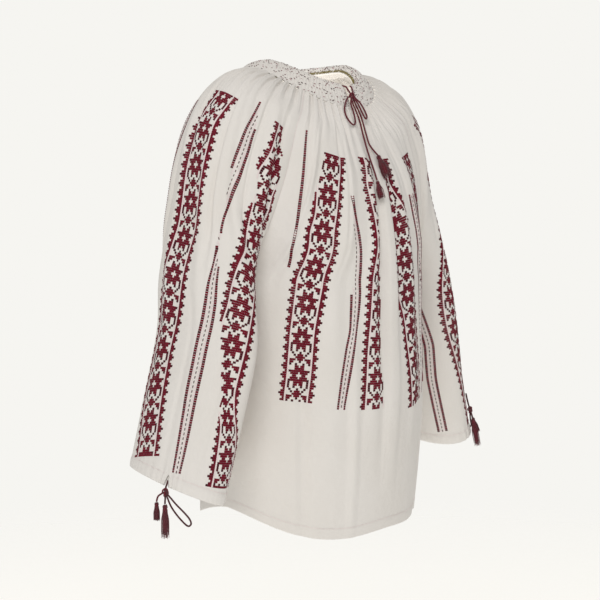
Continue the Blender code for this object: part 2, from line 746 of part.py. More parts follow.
class FrontSheet:
    """The band and the front panel as a depth over x and z, to lay the tie on."""

    def __init__(self):
        self.rows = []
        angle = np.radians(np.linspace(60, -60, 61))
        for place in (0.8, 1.1, 1.4, 1.7):
            self.rows.append(band_line(place, angle) + band_normals(place, angle))
        shares = np.linspace(0.02, 0.98, 97)
        for row in np.linspace(0.05, 5, 41):
            lift = (fold_height(FRONT_FOLDS, row, shares) + WALL / 2
                    + np.abs(gather_height(row, len(shares))))
            normals = row_normals(front_row, row, shares, -1)
            self.rows.append(front_row(row, shares) + normals * lift[:, None])

    def at(self, over):
        """Point in front of the cloth at x and z."""
        ys = [np.interp(over.x, line[:, 0], line[:, 1]) for line in self.rows]
        zs = [np.interp(over.x, line[:, 0], line[:, 2]) for line in self.rows]
        y = np.interp(-over.z, [-z for z in zs], ys)
        return np.array([over.x, y - over.lift, over.z])


class CuffPlace:
    """Directions at a cuff's vent, to hang a tie from."""

    def __init__(self, vent, turn):
        share = vent / COLUMNS
        side = np.array([turn, 1, 1])
        point = sleeve_row(VENT_EXIT_ROW, [share])[0]
        normal = row_normals(sleeve_row, VENT_EXIT_ROW, np.array([share]), 1)[0]
        self.start = point * side
        self.out = unit(np.array([normal[0] * turn, normal[1], 0.0]))
        along = np.array([-self.out[1], self.out[0], 0.0])
        self.along = along if along[1] < 0 else -along

    def at(self, hung, slope):
        """Point hung from the vent; slope follows the sleeve above the hem."""
        out = hung.out + slope * hung.down
        return (self.start + self.along * hung.along + self.out * out
                - np.array([0, 0, hung.down]))


def clear_of_knot(points, centre):
    """Drop a route's ends where they would run into the knot's ellipsoid."""
    reach = np.array(KNOT_RADII) + END_TOUCH
    fine = np.array([spline(points, at) for at in np.linspace(0, len(points) - 1, 400)])
    outside = np.linalg.norm((fine - centre) / reach, axis=1) > 1
    kept = fine[outside]
    return smooth_route(kept[np.linspace(0, len(kept) - 1, 3 * len(points)).astype(int)],
                        CORD_SPACING)


def band_exit(turn):
    """Middle of the band's end face at the crest, where a string comes out."""
    angle = np.array([band_angles(1.0, 2)[0]])
    point = band_line(1.0, angle)[0] - band_normals(1.0, angle)[0] * BAND_FLOOR / 2
    return (point + np.array([CORD_START, 0, 0])) * np.array([turn, 1, 1])


def add_neck_tie():
    """Two strings from the V meet in a knot, with two loops and two tasselled tails."""
    sheet = FrontSheet()
    knot = sheet.at(NECK_KNOT)
    add_knot("neck_knot", knot)
    for name, turn in (("neck_string_right", 1), ("neck_string_left", -1)):
        start = band_exit(turn)
        side = np.array([turn, 1, 1])
        route = [start, start + side * STRING_STEP, (start + knot) / 2 + STRING_LIFT, knot]
        add_cord(name, clear_of_knot(route, knot))
    for name, route in (("neck_big_loop", NECK_BIG_LOOP), ("neck_narrow_loop", NECK_NARROW_LOOP)):
        points = [knot, *(sheet.at(over) for over in route), knot]
        add_cord(name, clear_of_knot(points, knot))
    for name, route, kind, end in (
            ("neck_tail_high", NECK_TAIL_HIGH, LONG_TASSEL, NECK_HIGH_END),
            ("neck_tail_low", NECK_TAIL_LOW, SHORT_TASSEL, NECK_LOW_END)):
        points = [knot, *(sheet.at(over) for over in route)]
        add_cord(name, clear_of_knot(points, knot))
        hang_tassel(name.replace("tail", "tassel"), points, kind, sheet.at(end))


def hang_tassel(name, points, kind, end):
    """A tassel from the last point of a tail towards an end point."""
    way = unit(end - points[-1])
    add_tassel(name, points[-1] + way * TASSEL_TOUCH, kind, way)


def add_cuff_tie(side_name, place, slope, knot_place, string, loop, tails):
    """One cord from the vent to a knot, a loop and two tasselled tails."""
    knot = place.at(knot_place, slope)
    add_knot(f"cuff_knot_{side_name}", knot)
    points = [place.at(hung, slope) for hung in string]
    add_cord(f"cuff_string_{side_name}", clear_of_knot([*points, knot], knot))
    points = [place.at(hung, slope) for hung in loop]
    add_cord(f"cuff_loop_{side_name}", clear_of_knot([knot, *points, knot], knot))
    for end, route, kind, lean in tails:
        points = [knot, *(place.at(hung, slope) for hung in route)]
        add_cord(f"cuff_tail_{end}_{side_name}", clear_of_knot(points, knot))
        low = points[-1] + place.out * lean - np.array([0, 0, kind.length])
        hang_tassel(f"cuff_tassel_{end}_{side_name}", points, kind, low)


def add_cuff_ties():
    """The ties at the two cuffs."""
    place = CuffPlace(VENT_RIGHT, 1)
    tails = (("long", RIGHT_TAIL, CUFF_TASSEL, 0), ("short", RIGHT_SIDE_TAIL, SHORT_TASSEL, 0))
    add_cuff_tie("right", place, 0, RIGHT_KNOT, RIGHT_STRING, RIGHT_LOOP, tails)
    place = CuffPlace(VENT_LEFT, -1)
    tails = (("long", LEFT_TAIL, CUFF_TASSEL, LEFT_LEAN),
             ("short", LEFT_SIDE_TAIL, SHORT_TASSEL, LEFT_LEAN))
    add_cuff_tie("left", place, CUFF_SLOPE, LEFT_KNOT, LEFT_STRING, LEFT_LOOP, tails)


def clear_scene():
    """Start from an empty scene."""
    for thing in list(bpy.data.objects):
        bpy.data.objects.remove(thing, do_unlink=True)


def main():
    clear_scene()
    add_panels()
    add_neck_band()
    add_neck_tie()
    add_cuff_ties()


main()
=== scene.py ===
"""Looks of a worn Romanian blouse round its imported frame.

The cloth follows the rows and shares of the solids: a row goes from the neck
ring (0) past the armpit (6) to the hem or cuff (10), and a share goes from 0 to
1 across a panel.  Tables are in millimetres and MM turns them to metres.
"""
import math
from collections import namedtuple

import bpy
import numpy as np
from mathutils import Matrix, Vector


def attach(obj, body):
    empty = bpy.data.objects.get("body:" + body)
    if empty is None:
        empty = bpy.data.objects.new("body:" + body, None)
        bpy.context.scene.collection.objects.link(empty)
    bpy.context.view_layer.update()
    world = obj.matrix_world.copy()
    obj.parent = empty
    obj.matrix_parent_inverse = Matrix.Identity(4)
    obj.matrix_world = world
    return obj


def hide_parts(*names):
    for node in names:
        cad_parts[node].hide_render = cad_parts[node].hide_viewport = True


bl_info = {
    "name": "Romanian Blouse",
    "version": (1, 0, 0),
    "blender": (4, 5, 0),
    "location": "View3D > Sidebar > Blouse",
    "description": "Dresses the packed blouse with cloth, stitches, ties and a stage",
    "category": "Object",
}

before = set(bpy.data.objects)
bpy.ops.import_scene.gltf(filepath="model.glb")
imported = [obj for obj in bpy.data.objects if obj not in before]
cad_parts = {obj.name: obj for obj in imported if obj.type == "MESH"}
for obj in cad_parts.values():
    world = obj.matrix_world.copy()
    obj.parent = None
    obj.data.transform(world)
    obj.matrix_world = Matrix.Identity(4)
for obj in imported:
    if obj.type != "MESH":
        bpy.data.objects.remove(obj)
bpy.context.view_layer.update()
BODY = "root"
MM = 0.001

# Ovals round the neck: where the band meets the panels, its crest and its inner edge
Oval = namedtuple("Oval", "side front back z_side z_front z_back")
RING = Oval(100.0, 80.0, 88.0, -12.0, -60.0, -26.0)
CREST = Oval(75.0, 67.0, 73.0, 0.0, -31.0, -8.0)
RIM = Oval(65.0, 58.0, 63.0, -9.0, -40.0, -17.0)
SADDLE = 1.6
PANEL_CORNER = math.radians(45)
SLIT_CREST = 14.0
SLIT_RING = 6.0
SLIT_FOOT = 0.8
SLIT_END_ROW = 2.2
SIDE_REACH = 0.40
CENTRE_REACH = 0.52
RISE = 0.25
SAMPLES = 96
STEP = 0.02
SHARE_STEP = 0.004
EDGE_SHARE = 0.004
ANGLE_STEP = 0.01
FOLD_FLAT = 0.7

Level = namedtuple("Level", "name top_out top_z in_out in_z mid_y half_y arc "
                   "front_turn back_turn front_y front_z back_y back_z")
LEVELS = (
    Level("neck ring", 100, -12, -100, -12, 0, 88, 45, 45, 45, -80, -60, 88, -26),
    Level("yoke", 133, -17, -38, -152, -1, 87, 58, 36, 38, -91, -82, 97, -50),
    Level("shoulder", 165, -37, 25, -176, -2, 80, 75, 32, 34, -103, -108, 104, -85),
    Level("upper arm", 188, -72, 76, -194, -3, 76, 93, 36, 38, -121, -145, 108, -128),
    Level("chest", 200, -116, 112, -214, -2, 72, 112, 48, 50, -130, -185, 110, -170),
    Level("under bust", 208, -165, 138, -237, -2, 70, 138, 66, 68, -136, -228, 111, -215),
    Level("armpit", 218, -215, 156, -268, -4, 71, 180, 88, 88, -139, -272, 111, -265),
)
ARMPIT = len(LEVELS) - 1
Tube = namedtuple("Tube", "name top_out top_z in_out in_z mid_y half_y front_drop")
TUBES = (
    Tube("below armpit", 228, -262, 164, -298, -8, 74, 0),
    Tube("elbow", 239, -326, 169, -352, -15, 76, 3),
    Tube("forearm", 266, -405, 189, -432, -15, 72, 8),
    Tube("cuff", 297, -491, 217, -518, -16, 66, 14),
)
Body = namedtuple("Body", "name side_out side_y side_z front_y front_z back_y back_z "
                  "corner_drop")
BODIES = (
    Body("waist", 156, -3, -330, -141, -335, 110, -332, 0),
    Body("hip", 159, 0, -398, -145, -407, 112, -404, 1),
    Body("low hip", 157, 0, -478, -140, -496, 116, -490, 5),
    Body("hem", 153, 0, -553, -131, -588, 120, -578, 12),
)
LAST_ROW = ARMPIT + len(BODIES)

# Large folds of the solids, and finer creases that only the cloth has: place and
# width as shares, first and last row, how far it leans for each row, and how much
# steeper one side is
Fold = namedtuple("Fold", "place width depth start end lean skew", defaults=(0.0, 0.0))


def folds(*rows):
    """Folds from the rows of a table."""
    return tuple(Fold(*row) for row in rows)


FRONT_FOLDS = folds(
    (0.1, 0.05, 4, 1.5, 5.2), (0.3, 0.045, 4, 1, 9.5), (0.42, 0.04, 5, 1.5, 9),
    (0.5, 0.035, 7, 2.2, 9.6), (0.6, 0.04, 5, 1.5, 9), (0.72, 0.045, 4, 1.2, 9),
    (0.9, 0.05, 4, 1.5, 5.2))
BACK_FOLDS = folds(
    (0.12, 0.05, 4, 1.5, 5.2), (0.28, 0.045, 5, 1, 9.2), (0.41, 0.04, 4, 1.5, 8.6),
    (0.52, 0.04, 6, 1.2, 9.4), (0.63, 0.04, 4, 1.5, 9), (0.75, 0.045, 5, 1, 9),
    (0.89, 0.05, 4, 1.5, 5.2))
SLEEVE_FOLDS = folds(
    (0.14, 0.045, 4, 1.2, 5), (0.3, 0.045, 5, 1, 9), (0.45, 0.045, 4, 2, 9),
    (0.6, 0.045, 5, 1.5, 9.3), (0.74, 0.045, 4, 1, 8), (0.88, 0.045, 4, 1.2, 5))
FRONT_CREASES = folds(
    (0.058, 0.02, -2.6, 1, 6.5, 0.016, 0.3), (0.125, 0.016, 2.8, 1.2, 5.6, -0.006, 0.5),
    (0.245, 0.014, -1.8, 0.4, 3.4, 0.004), (0.285, 0.012, -2.4, 1.8, 6.2, 0.006, -0.4),
    (0.345, 0.012, -1.6, 0.3, 2.9), (0.462, 0.018, -3.4, 2, 9.4, 0.0, -0.6),
    (0.478, 0.012, 2.6, 2.2, 9, 0.0, 0.6), (0.545, 0.016, -2.6, 2.4, 7, -0.004, 0.4),
    (0.655, 0.014, -2.2, 0.6, 4.6, 0.008, 0.2), (0.7, 0.02, -3.4, 5.2, 10.3, 0.004),
    (0.79, 0.022, 4.6, 6.2, 10.4, -0.014, 0.5), (0.86, 0.024, -4.4, 5.8, 10.3, -0.012, 0.3),
    (0.36, 0.024, 3.2, 6.8, 10.3, 0.003), (0.21, 0.028, -3.6, 6.6, 10.4, 0.006, 0.2))
BACK_CREASES = folds(
    (0.065, 0.02, -2.6, 1, 6.4, 0.014, 0.3), (0.185, 0.016, -2.2, 0.6, 4.2, 0.006, 0.2),
    (0.235, 0.014, 2, 1.4, 5, 0.004, 0.4), (0.34, 0.014, -2.4, 0.8, 7.2, 0.003, -0.3),
    (0.455, 0.014, -2.8, 0.5, 8.2, -0.002, 0.4), (0.57, 0.016, -2.6, 1.2, 8.8, 0.003),
    (0.69, 0.016, -2.4, 0.7, 6.6, -0.004, -0.4), (0.815, 0.016, -2.2, 0.9, 4.4, -0.006, 0.2),
    (0.3, 0.026, 2.4, 6.4, 10.3, 0.003, 0.2), (0.64, 0.028, -2.6, 6.2, 10.4, -0.003),
    (0.86, 0.024, 2.8, 6, 10.2, -0.008, 0.4))
SLEEVE_CREASES = folds(
    (0.06, 0.022, -3, 1.2, 6.2, 0.01, 0.4), (0.185, 0.018, -2.8, 1, 6.4, 0.018, -0.3),
    (0.345, 0.016, -2.6, 1.2, 7, 0.016, 0.4), (0.385, 0.014, 2, 4.2, 7.4, 0.012, -0.5),
    (0.52, 0.016, -2.4, 0.8, 4.4, 0.014), (0.655, 0.018, -2.8, 1.4, 7.6, 0.012, 0.3),
    (0.815, 0.018, -2.6, 1, 6.8, 0.008, -0.2), (0.935, 0.022, -2.8, 1.2, 6.6, -0.004, 0.3),
    (0.33, 0.022, -2.2, 7, 10.5, 0.004, 0.2), (0.48, 0.02, -2, 7.2, 10.6, -0.004, -0.3),
    (0.8, 0.03, 2.6, 6, 10.2, 0.0, 0.2))

# Gathers under the band, and finer ones between them
GATHERS = 15
GATHER_DEPTH = 2.6
GATHER_FADE_ROW = 2.6
GATHER_UNEVEN = 1.0
FINE_GATHERS = 43
FINE_DEPTH = 0.95
FINE_BEND = 1.6
FINE_BEND_WAVES = 9
FINE_REACH = (0.4, 0.9)
FINE_START_ROW = 0.15

# Grids of the fine cloth
TOP_ROWS = 56
LOW_ROWS = 104
HEM_ROWS = 10
TOP_END = 3.0
FINE_COLUMNS = 216
TINY = 1e-7
RING_BLEND = 0.35
SEAM_FADE = 0.04
HEM_ROW = 9.87
HEM_RAMP = 0.02
HEM_ARCH = (0.06, 0.88)
HEM_ROUND = 0.6
BODY_HEM = 0.25
CUFF_HEM = 0.9
CURL = ((0.6, 0.3), (0.8, 0.9), (0.4, 1.5))
RETURN_DEPTH = 1.7
RETURN_ROWS = (9.97, 9.92, 9.86)
CURL_RUN = 1
RETURN_RUN = 4
SLIT_SEWN = 0.1

# Vents, where a cuff's tie comes out through the hem and draws it together
VENT_RIGHT = 13 / 30
VENT_LEFT = 9 / 30
VENT_ROW = 9.86
VENT_TOP = 0.8
VENT_HEM = 7.0
VENT_ROOM = 0.04
VENT_CLEAR = 0.012
CUFF_ROUND = 345.0
PUCKER_DEPTH = 0.9
PUCKER_ALL = 0.22
PUCKER_PITCH = 8.0
PUCKER_WIDTH = 22.0
PUCKER_START_ROW = 9.3
PUCKER_WANDER = 9.0
PUCKER_ABOVE = 0.4
PUCKER_RAMP = 0.03

# Cross-stitch
CELL_LONG = 2.78
CLOSED_ROW = 9.0
LATTICE_SAMPLES = 400
SMOOTH_REACH = 10
SLANT_REACH = 40
TILT_LIMIT = 0.13
STITCH_LIFT = 0.08
CROSS_REACH = 0.60
CROSS_RISE = 0.06
CROSS_WIDTH = 2.55
CROSS_BLUNT = 0.95
LINE_WIDTH = 2.3
CROSS_LIFT = 0.55
CROSS_OVER = 1.3
CHAIN_WIDTH = 2.0
CHAIN_LIFT = 0.8
CHAIN_SPREAD = 0.10
CHAIN_OVER = 0.1
BAR_WIDTH = 2.4
BAR_LIFT = 0.7
BAR_REACH = 0.95
DASH_REACH = 0.62
DASH_WIDTH = 1.3

# Cords, knots and tassels
ROUTE_SAMPLES = 12
PATH_SPACING = 0.7
ROUTE_SOFTEN = 6
LOBE_DEPTH = 0.24
TUBE_FILL = 1.06
TWIST_LENGTH = 5.2
KNOT_SAMPLES = 150
KNOT_LOOPS = (2, 3)
KNOT_WAVE = 0.42
KNOT_DEPTH = 0.75
KNOT_TONE = 0.4
KNOT_CORD = 0.95
CORD_TONE = 0.5
WIND_RADIUS = 0.42
TASSEL_THREADS = 40
THREAD_RADIUS = 0.5
THREAD_POINTS = 9
THREAD_TWIST = 3.2
WIND_POINTS = 90
WIND_TWIST = 2.5
THREAD_TAPER = 0.6
THREAD_RAGGED = 0.13
THREAD_SWING = 0.35
THREAD_WAVE = 0.10
SKIRT_DRIFT = 0.10
COLLAR_WIDE = 0.78
COLLAR_DOWN = 2.0
HEAD_ARCH = (0.12, 0.72)
CORE_SIDES = 16
CORE_TONE = 0.05
CORE_RIPPLE = 0.06
CORE_RIPPLES = 5

# Smocked band
BAND_PLEATS = 120
BAND_COLUMNS = 840
BAND_STEPS = 22
BAND_THICK = 2.5
BAND_INSIDE = (0.35, 0.8, 1.2, 1.6, 1.95)
BAND_WEAVE = (1500, 60)
RIM_TURNS = (45, 90, 135)
SMOCK_ROWS = 4
SMOCK_DEPTH = 2.0
SMOCK_WANDER = 0.10
SMOCK_SHARP = 0.8
SMOCK_SINK = 0.35
SMOCK_PLACES = (0.0, 0.25, 0.8, 1.3, 1.75, 2.0)
SMOCK_GROWTH = (0.25, 0.5, 1.0, 1.0, 0.8, 0.35)
SMOCK_STITCHES = tuple(0.34 + 0.105 * k for k in range(16))
SMOCK_COLOURS = (0, 1, 1, 2, 1, 0, 2, 1)
SMOCK_KEEP = 0.42
SLIT_DENSE = 12
DOT_REACH = 0.16
DOT_SHIFT = 0.10
DOT_TILT = 0.05
DOT_PLACES = (0.05, 1.97)
DOT_WIDTH = 1.15
DOT_LIFT = 0.1
DOT_RAISE = 0.6
RIM_STITCHES = 170
RIM_WIDTH = 1.1
RIM_THICK = 1.3
RIM_THICK_SHARE = 0.86
RIM_SLANT = 0.6
RIM_DOWN = 0.27
RIM_LIFTS = (0.6, 0.4)
RIM_RAISE = 0.8
RIM_SKIP = 0.3
RIM_LAYERS = ((1, 1.0), (-0.4, 0.9), (0.3, 1.1))

# Seams
SEAM_PITCH = 2.4
SEAM_HALF = 0.8
SEAM_WIDTH = 0.6
SEAM_RAISE = 0.35
SEAM_LIFT = 0.1
SEAM_START = 0.05
SEAM_SHARE = 0.002
HEM_STITCH_UP = 0.012
HEM_STITCH = 0.35
CUFF_STITCH = 0.5
SLIT_STITCH = 0.7
SLIT_SHARE = 0.0035
LONG_POINTS = 160
CUFF_POINTS = 200
HEM_POINTS = 300
SLIT_POINTS = 60

# Finishes
BAND_TONE = 0.97
# Painted shade: colour of the grooves between a thread's plies, as a share of the thread's colour
PAINTED_GROOVE_SHADE = 0.35
THREAD_UNEVEN = 0.08
SLUB_COLOUR = (0.55, 0.5, 0.43, 1)
SLUB_TONE = 0.10
SPECULAR = 0.25
SHEEN_ROUGH = 0.5
WEAVE_BUMP = 0.00006
CRUMPLE_BUMP = 0.0012
PLY_BUMP = 0.00012

# Camera: degrees round from the front, metres, and pixels of the photograph's frame
IMAGE = 600
SENSOR = 36
CAMERA_AZIMUTH = -50.0
CAMERA_AWAY = 1.9
CAMERA_HEIGHT = -0.12
CAMERA_AIM = (0.0, 0.0, -0.3)
CAMERA_FOCUS = 1461.0
ORIGIN_PIXEL = (306.0, 63.0)
FLOOR_REACH = 9.0
FLOOR_FADE = (3.0, 4.0)
FLOOR_GLOW = 0.5
FLOOR_RINGS = 24
FLOOR_AROUND = 96
FLOOR_GRAIN = 0.06
DAYLIGHT = (1.0, 0.985, 0.96)
LAMPLIGHT = (1.0, 0.98, 0.93)


def spline(values, at):
    """Smooth curve through the rows of a table, read at fractional row numbers."""
    values = np.asarray(values, float)
    last = len(values) - 1
    slope = np.gradient(values, axis=0)
    low = min(max(int(math.floor(at)), 0), last - 1)
    t = at - low
    keep = (1 + 2 * t) * (1 - t) ** 2
    return (keep * values[low] + t * (1 - t) ** 2 * slope[low]
            + (1 - keep) * values[low + 1] - t * t * (1 - t) * slope[low + 1])


def unit(vectors):
    """Vectors scaled to length one."""
    return vectors / np.maximum(np.linalg.norm(vectors, axis=-1, keepdims=True), 1e-9)


def ease(value):
    """Go smoothly from 0 to 1."""
    value = np.clip(value, 0.0, 1.0)
    return value * value * (3 - 2 * value)


def run_of(points):
    """How far along a line each of its points is."""
    return np.concatenate([[0.0], np.cumsum(np.linalg.norm(np.diff(points, axis=0), axis=1))])


def even(points, shares):
    """Points of a curve at shares of its length."""
    length = run_of(points)
    wanted = np.asarray(shares) * length[-1]
    return np.stack([np.interp(wanted, length, points[:, k]) for k in range(3)], 1)


def on_oval(oval, angle):
    """Points of a saddle shaped oval, angle 0 at the front, 90 at the right side."""
    angle = np.asarray(angle, float)
    front = np.maximum(np.cos(angle), 0) ** SADDLE
    back = np.maximum(-np.cos(angle), 0) ** SADDLE
    z = (oval.z_side + (oval.z_front - oval.z_side) * front
         + (oval.z_back - oval.z_side) * back)
    depth = np.where(np.cos(angle) > 0, oval.front, oval.back)
    return np.stack([-oval.side * np.sin(angle), -depth * np.cos(angle), z], -1)


def ring_angle(points):
    """Angles of points of the ring, negative on the wearer's left."""
    depth = np.where(points[:, 1] < 0, RING.front, RING.back)
    return np.arctan2(-points[:, 0] / RING.side, -points[:, 1] / depth)


def ring_normal(angle):
    """Unit normals of the cloth where the band meets the panels."""
    along = on_oval(RING, angle + ANGLE_STEP) - on_oval(RING, angle - ANGLE_STEP)
    return unit(np.cross(along, on_oval(RING, angle) - on_oval(CREST, angle)))


def ring_share(start, end, shares):
    """Points of the ring from one angle to another, at shares of the length."""
    return even(on_oval(RING, np.linspace(start, end, SAMPLES)), shares)


SLEEVE_TABLE = np.array(
    [(l.top_out, l.top_z, l.in_out, l.in_z, l.mid_y, l.half_y, l.arc, 0) for l in LEVELS]
    + [(t.top_out, t.top_z, t.in_out, t.in_z, t.mid_y, t.half_y, 180, t.front_drop)
       for t in TUBES], float)
UPPER_TABLE = np.array(
    [(l.front_turn, l.back_turn, l.front_y, l.front_z, l.back_y, l.back_z, 0)
     for l in LEVELS]
    + [(90, 90, b.front_y, b.front_z, b.back_y, b.back_z, b.corner_drop)
       for b in BODIES], float)
SIDE_TABLE = np.array(
    [(LEVELS[-1].in_out, LEVELS[-1].mid_y, LEVELS[-1].in_z)]
    + [(b.side_out, b.side_y, b.side_z) for b in BODIES], float)


def sleeve_oval(row):
    """Plain section of the right sleeve at a row, from the front seam to the back."""
    top_out, top_z, in_out, in_z, mid_y, half_y, arc, drop = spline(SLEEVE_TABLE, row)
    reach = math.radians(180 if row >= ARMPIT else min(arc, 179.9))
    angle = np.linspace(-reach, reach, 2 * SAMPLES)
    out = (top_out + in_out) / 2 + (top_out - in_out) / 2 * np.cos(angle)
    z = (top_z + in_z) / 2 + (top_z - in_z) / 2 * np.cos(angle) + drop * np.sin(angle)
    return np.stack([-out, mid_y + half_y * np.sin(angle), z], 1)


def neck_blend(row):
    """How much of the neck ring's own form a row still has."""
    return 1 - ease(row / 2.0)


def sleeve_row(row, shares):
    """Base line of the right sleeve at a row; share 0 front seam, 1 back seam."""
    points = even(sleeve_oval(row), shares)
    blend = neck_blend(row)
    if blend > 0:
        on_ring = ring_share(PANEL_CORNER, math.pi - PANEL_CORNER, shares)
        points = points + blend * (on_ring - even(sleeve_oval(0), shares))
    return points


def half_oval(row, back):
    """Right half section of the front or back panel, from the seam to the middle."""
    front_turn, back_turn, front_y, front_z, back_y, back_z, drop = spline(UPPER_TABLE, row)
    turn, y, z, way = ((back_turn, back_y, back_z, 1) if back
                       else (front_turn, front_y, front_z, -1))
    if row <= ARMPIT:
        seam = sleeve_row(row, [1.0 if back else 0.0])[0]
    else:
        out, side_y, side_z = spline(SIDE_TABLE, row - ARMPIT)
        seam = np.array([-out, side_y, side_z])
    turn = math.radians(min(turn, 90))
    middle = np.array([0.0, y, z])
    chord = np.linalg.norm(middle - seam)
    lead = seam + SIDE_REACH * chord * np.array([math.cos(turn), way * math.sin(turn), 0])
    lead[2] = seam[2] + RISE * (z - seam[2])
    near = np.array([CENTRE_REACH * seam[0], y, z])
    t = np.linspace(0, 1, SAMPLES)[:, None]
    curve = ((1 - t) ** 3 * seam + 3 * t * (1 - t) ** 2 * lead
             + 3 * t * t * (1 - t) * near + t ** 3 * middle)
    curve[:, 2] -= drop * (16 * t * t * (1 - t) ** 2)[:, 0]
    return curve


def body_half(row, back, shares):
    """Base line of the right half of the front or back; share 0 seam, 1 middle."""
    points = even(half_oval(row, back), shares)
    blend = neck_blend(row)
    if blend > 0:
        corner = math.pi - PANEL_CORNER if back else PANEL_CORNER
        middle = math.pi if back else 0.0
        on_ring = ring_share(corner, middle, shares)
        points = points + blend * (on_ring - even(half_oval(0, back), shares))
    return points


def slit_half(row):
    """Half width of the front slit at a row."""
    return SLIT_FOOT + (SLIT_RING - SLIT_FOOT) * (1 - ease(row / SLIT_END_ROW))


def body_row(row, shares, back=False):
    """Base line of the whole front or back panel, share 0 at the wearer's right."""
    shares = np.asarray(shares, float)
    half = 1 - np.abs(1 - 2 * shares)
    if not back:
        half = half * (1 - slit_half(row) / run_of(half_oval(row, False))[-1])
    points = body_half(row, back, half)
    points[:, 0] *= np.where(shares > 0.5, -1, 1)
    return points


def back_row(row, shares):
    """Base line of the back panel."""
    return body_row(row, shares, back=True)


def row_normals(line, row, shares, outward):
    """Unit normals of a panel's base at a row, by differences."""
    low = max(row - STEP, 0)
    high = min(row + STEP, LAST_ROW)
    down = line(high, shares) - line(low, shares)
    left = line(row, np.clip(shares - SHARE_STEP, 0, 1))
    right = line(row, np.clip(shares + SHARE_STEP, 0, 1))
    return outward * unit(np.cross(right - left, down))


def fold_height(folds, row, shares):
    """How far folds and creases push the cloth out at a row."""
    height = np.zeros(len(shares))
    for fold in folds:
        away = (shares - fold.place - fold.lean * (row - fold.start)) / fold.width
        away = away / np.where(away < 0, 1 - fold.skew, 1 + fold.skew)
        ridge = np.where(np.abs(away) < 1, np.cos(away * math.pi / 2) ** 2, 0)
        run = (row - fold.start) / (fold.end - fold.start)
        if 0 < run < 1:
            height += fold.depth * ridge * math.sin(math.pi * run) ** FOLD_FLAT
    return height


def uneven(number, seed):
    """A steady number from 0 to 1 for each whole number."""
    value = np.sin(np.asarray(number, float) * 12.9898 + seed * 78.233) * 43758.5453
    return value - np.floor(value)


def gather_height(row, shares, seed):
    """Soft gathers at a row, each fading at a place of its own."""
    wave = GATHERS * shares
    spots = np.arange(GATHERS + 1)
    reach = np.interp(wave, spots, GATHER_UNEVEN * (2 * uneven(spots, seed) - 1))
    height = -GATHER_DEPTH * (1 - ease(row / (GATHER_FADE_ROW + reach))) * np.cos(
        2 * math.pi * wave)
    bend = FINE_BEND * np.sin(FINE_BEND_WAVES * shares + seed)
    spots = np.arange(FINE_GATHERS + 1)
    reach = np.interp(FINE_GATHERS * shares, spots,
                      FINE_REACH[0] + FINE_REACH[1] * uneven(spots, seed + 3))
    fine = np.cos(2 * math.pi * FINE_GATHERS * shares + bend)
    return height + FINE_DEPTH * fine * (1 - ease(row / (GATHER_FADE_ROW * reach))) * ease(
        row / FINE_START_ROW)


def hem_height(row, shares, width, depth, vent):
    """How far a hem's roll, and the puckers at its tie, stand out at a row."""
    place = np.clip((row - HEM_ROW) / (LAST_ROW - HEM_ROW), 0, 1)
    arch = np.sin(math.pi * (HEM_ARCH[0] + HEM_ARCH[1] * place)) ** HEM_ROUND
    height = depth * arch * ease((row - HEM_ROW) / HEM_RAMP) * np.ones(len(shares))
    if vent is not None:
        away = (shares - vent) * width
        near = np.exp(-(away / PUCKER_WIDTH) ** 2)
        grow = ease((row - PUCKER_START_ROW) / (LAST_ROW - PUCKER_START_ROW))
        ripple = np.cos(2 * math.pi * away / PUCKER_PITCH + 2 * np.sin(away / PUCKER_WANDER))
        height += (PUCKER_DEPTH * near + PUCKER_ALL) * ripple * grow * (
            PUCKER_ABOVE + (1 - PUCKER_ABOVE) * ease((row - HEM_ROW + PUCKER_RAMP) / PUCKER_RAMP))
    return height


def vent_shift(row, shares, vent):
    """Shares moved apart where the hem's vent is open."""
    half = (VENT_TOP + (VENT_HEM - VENT_TOP) * np.clip(
        (row - VENT_ROW) / (LAST_ROW - VENT_ROW), 0, 1)) / CUFF_ROUND / 2
    away = shares - vent
    moved = np.sign(away) * (half + np.abs(away) * (VENT_ROOM - half) / VENT_ROOM)
    return np.where(np.abs(away) < VENT_ROOM, vent + moved, shares)


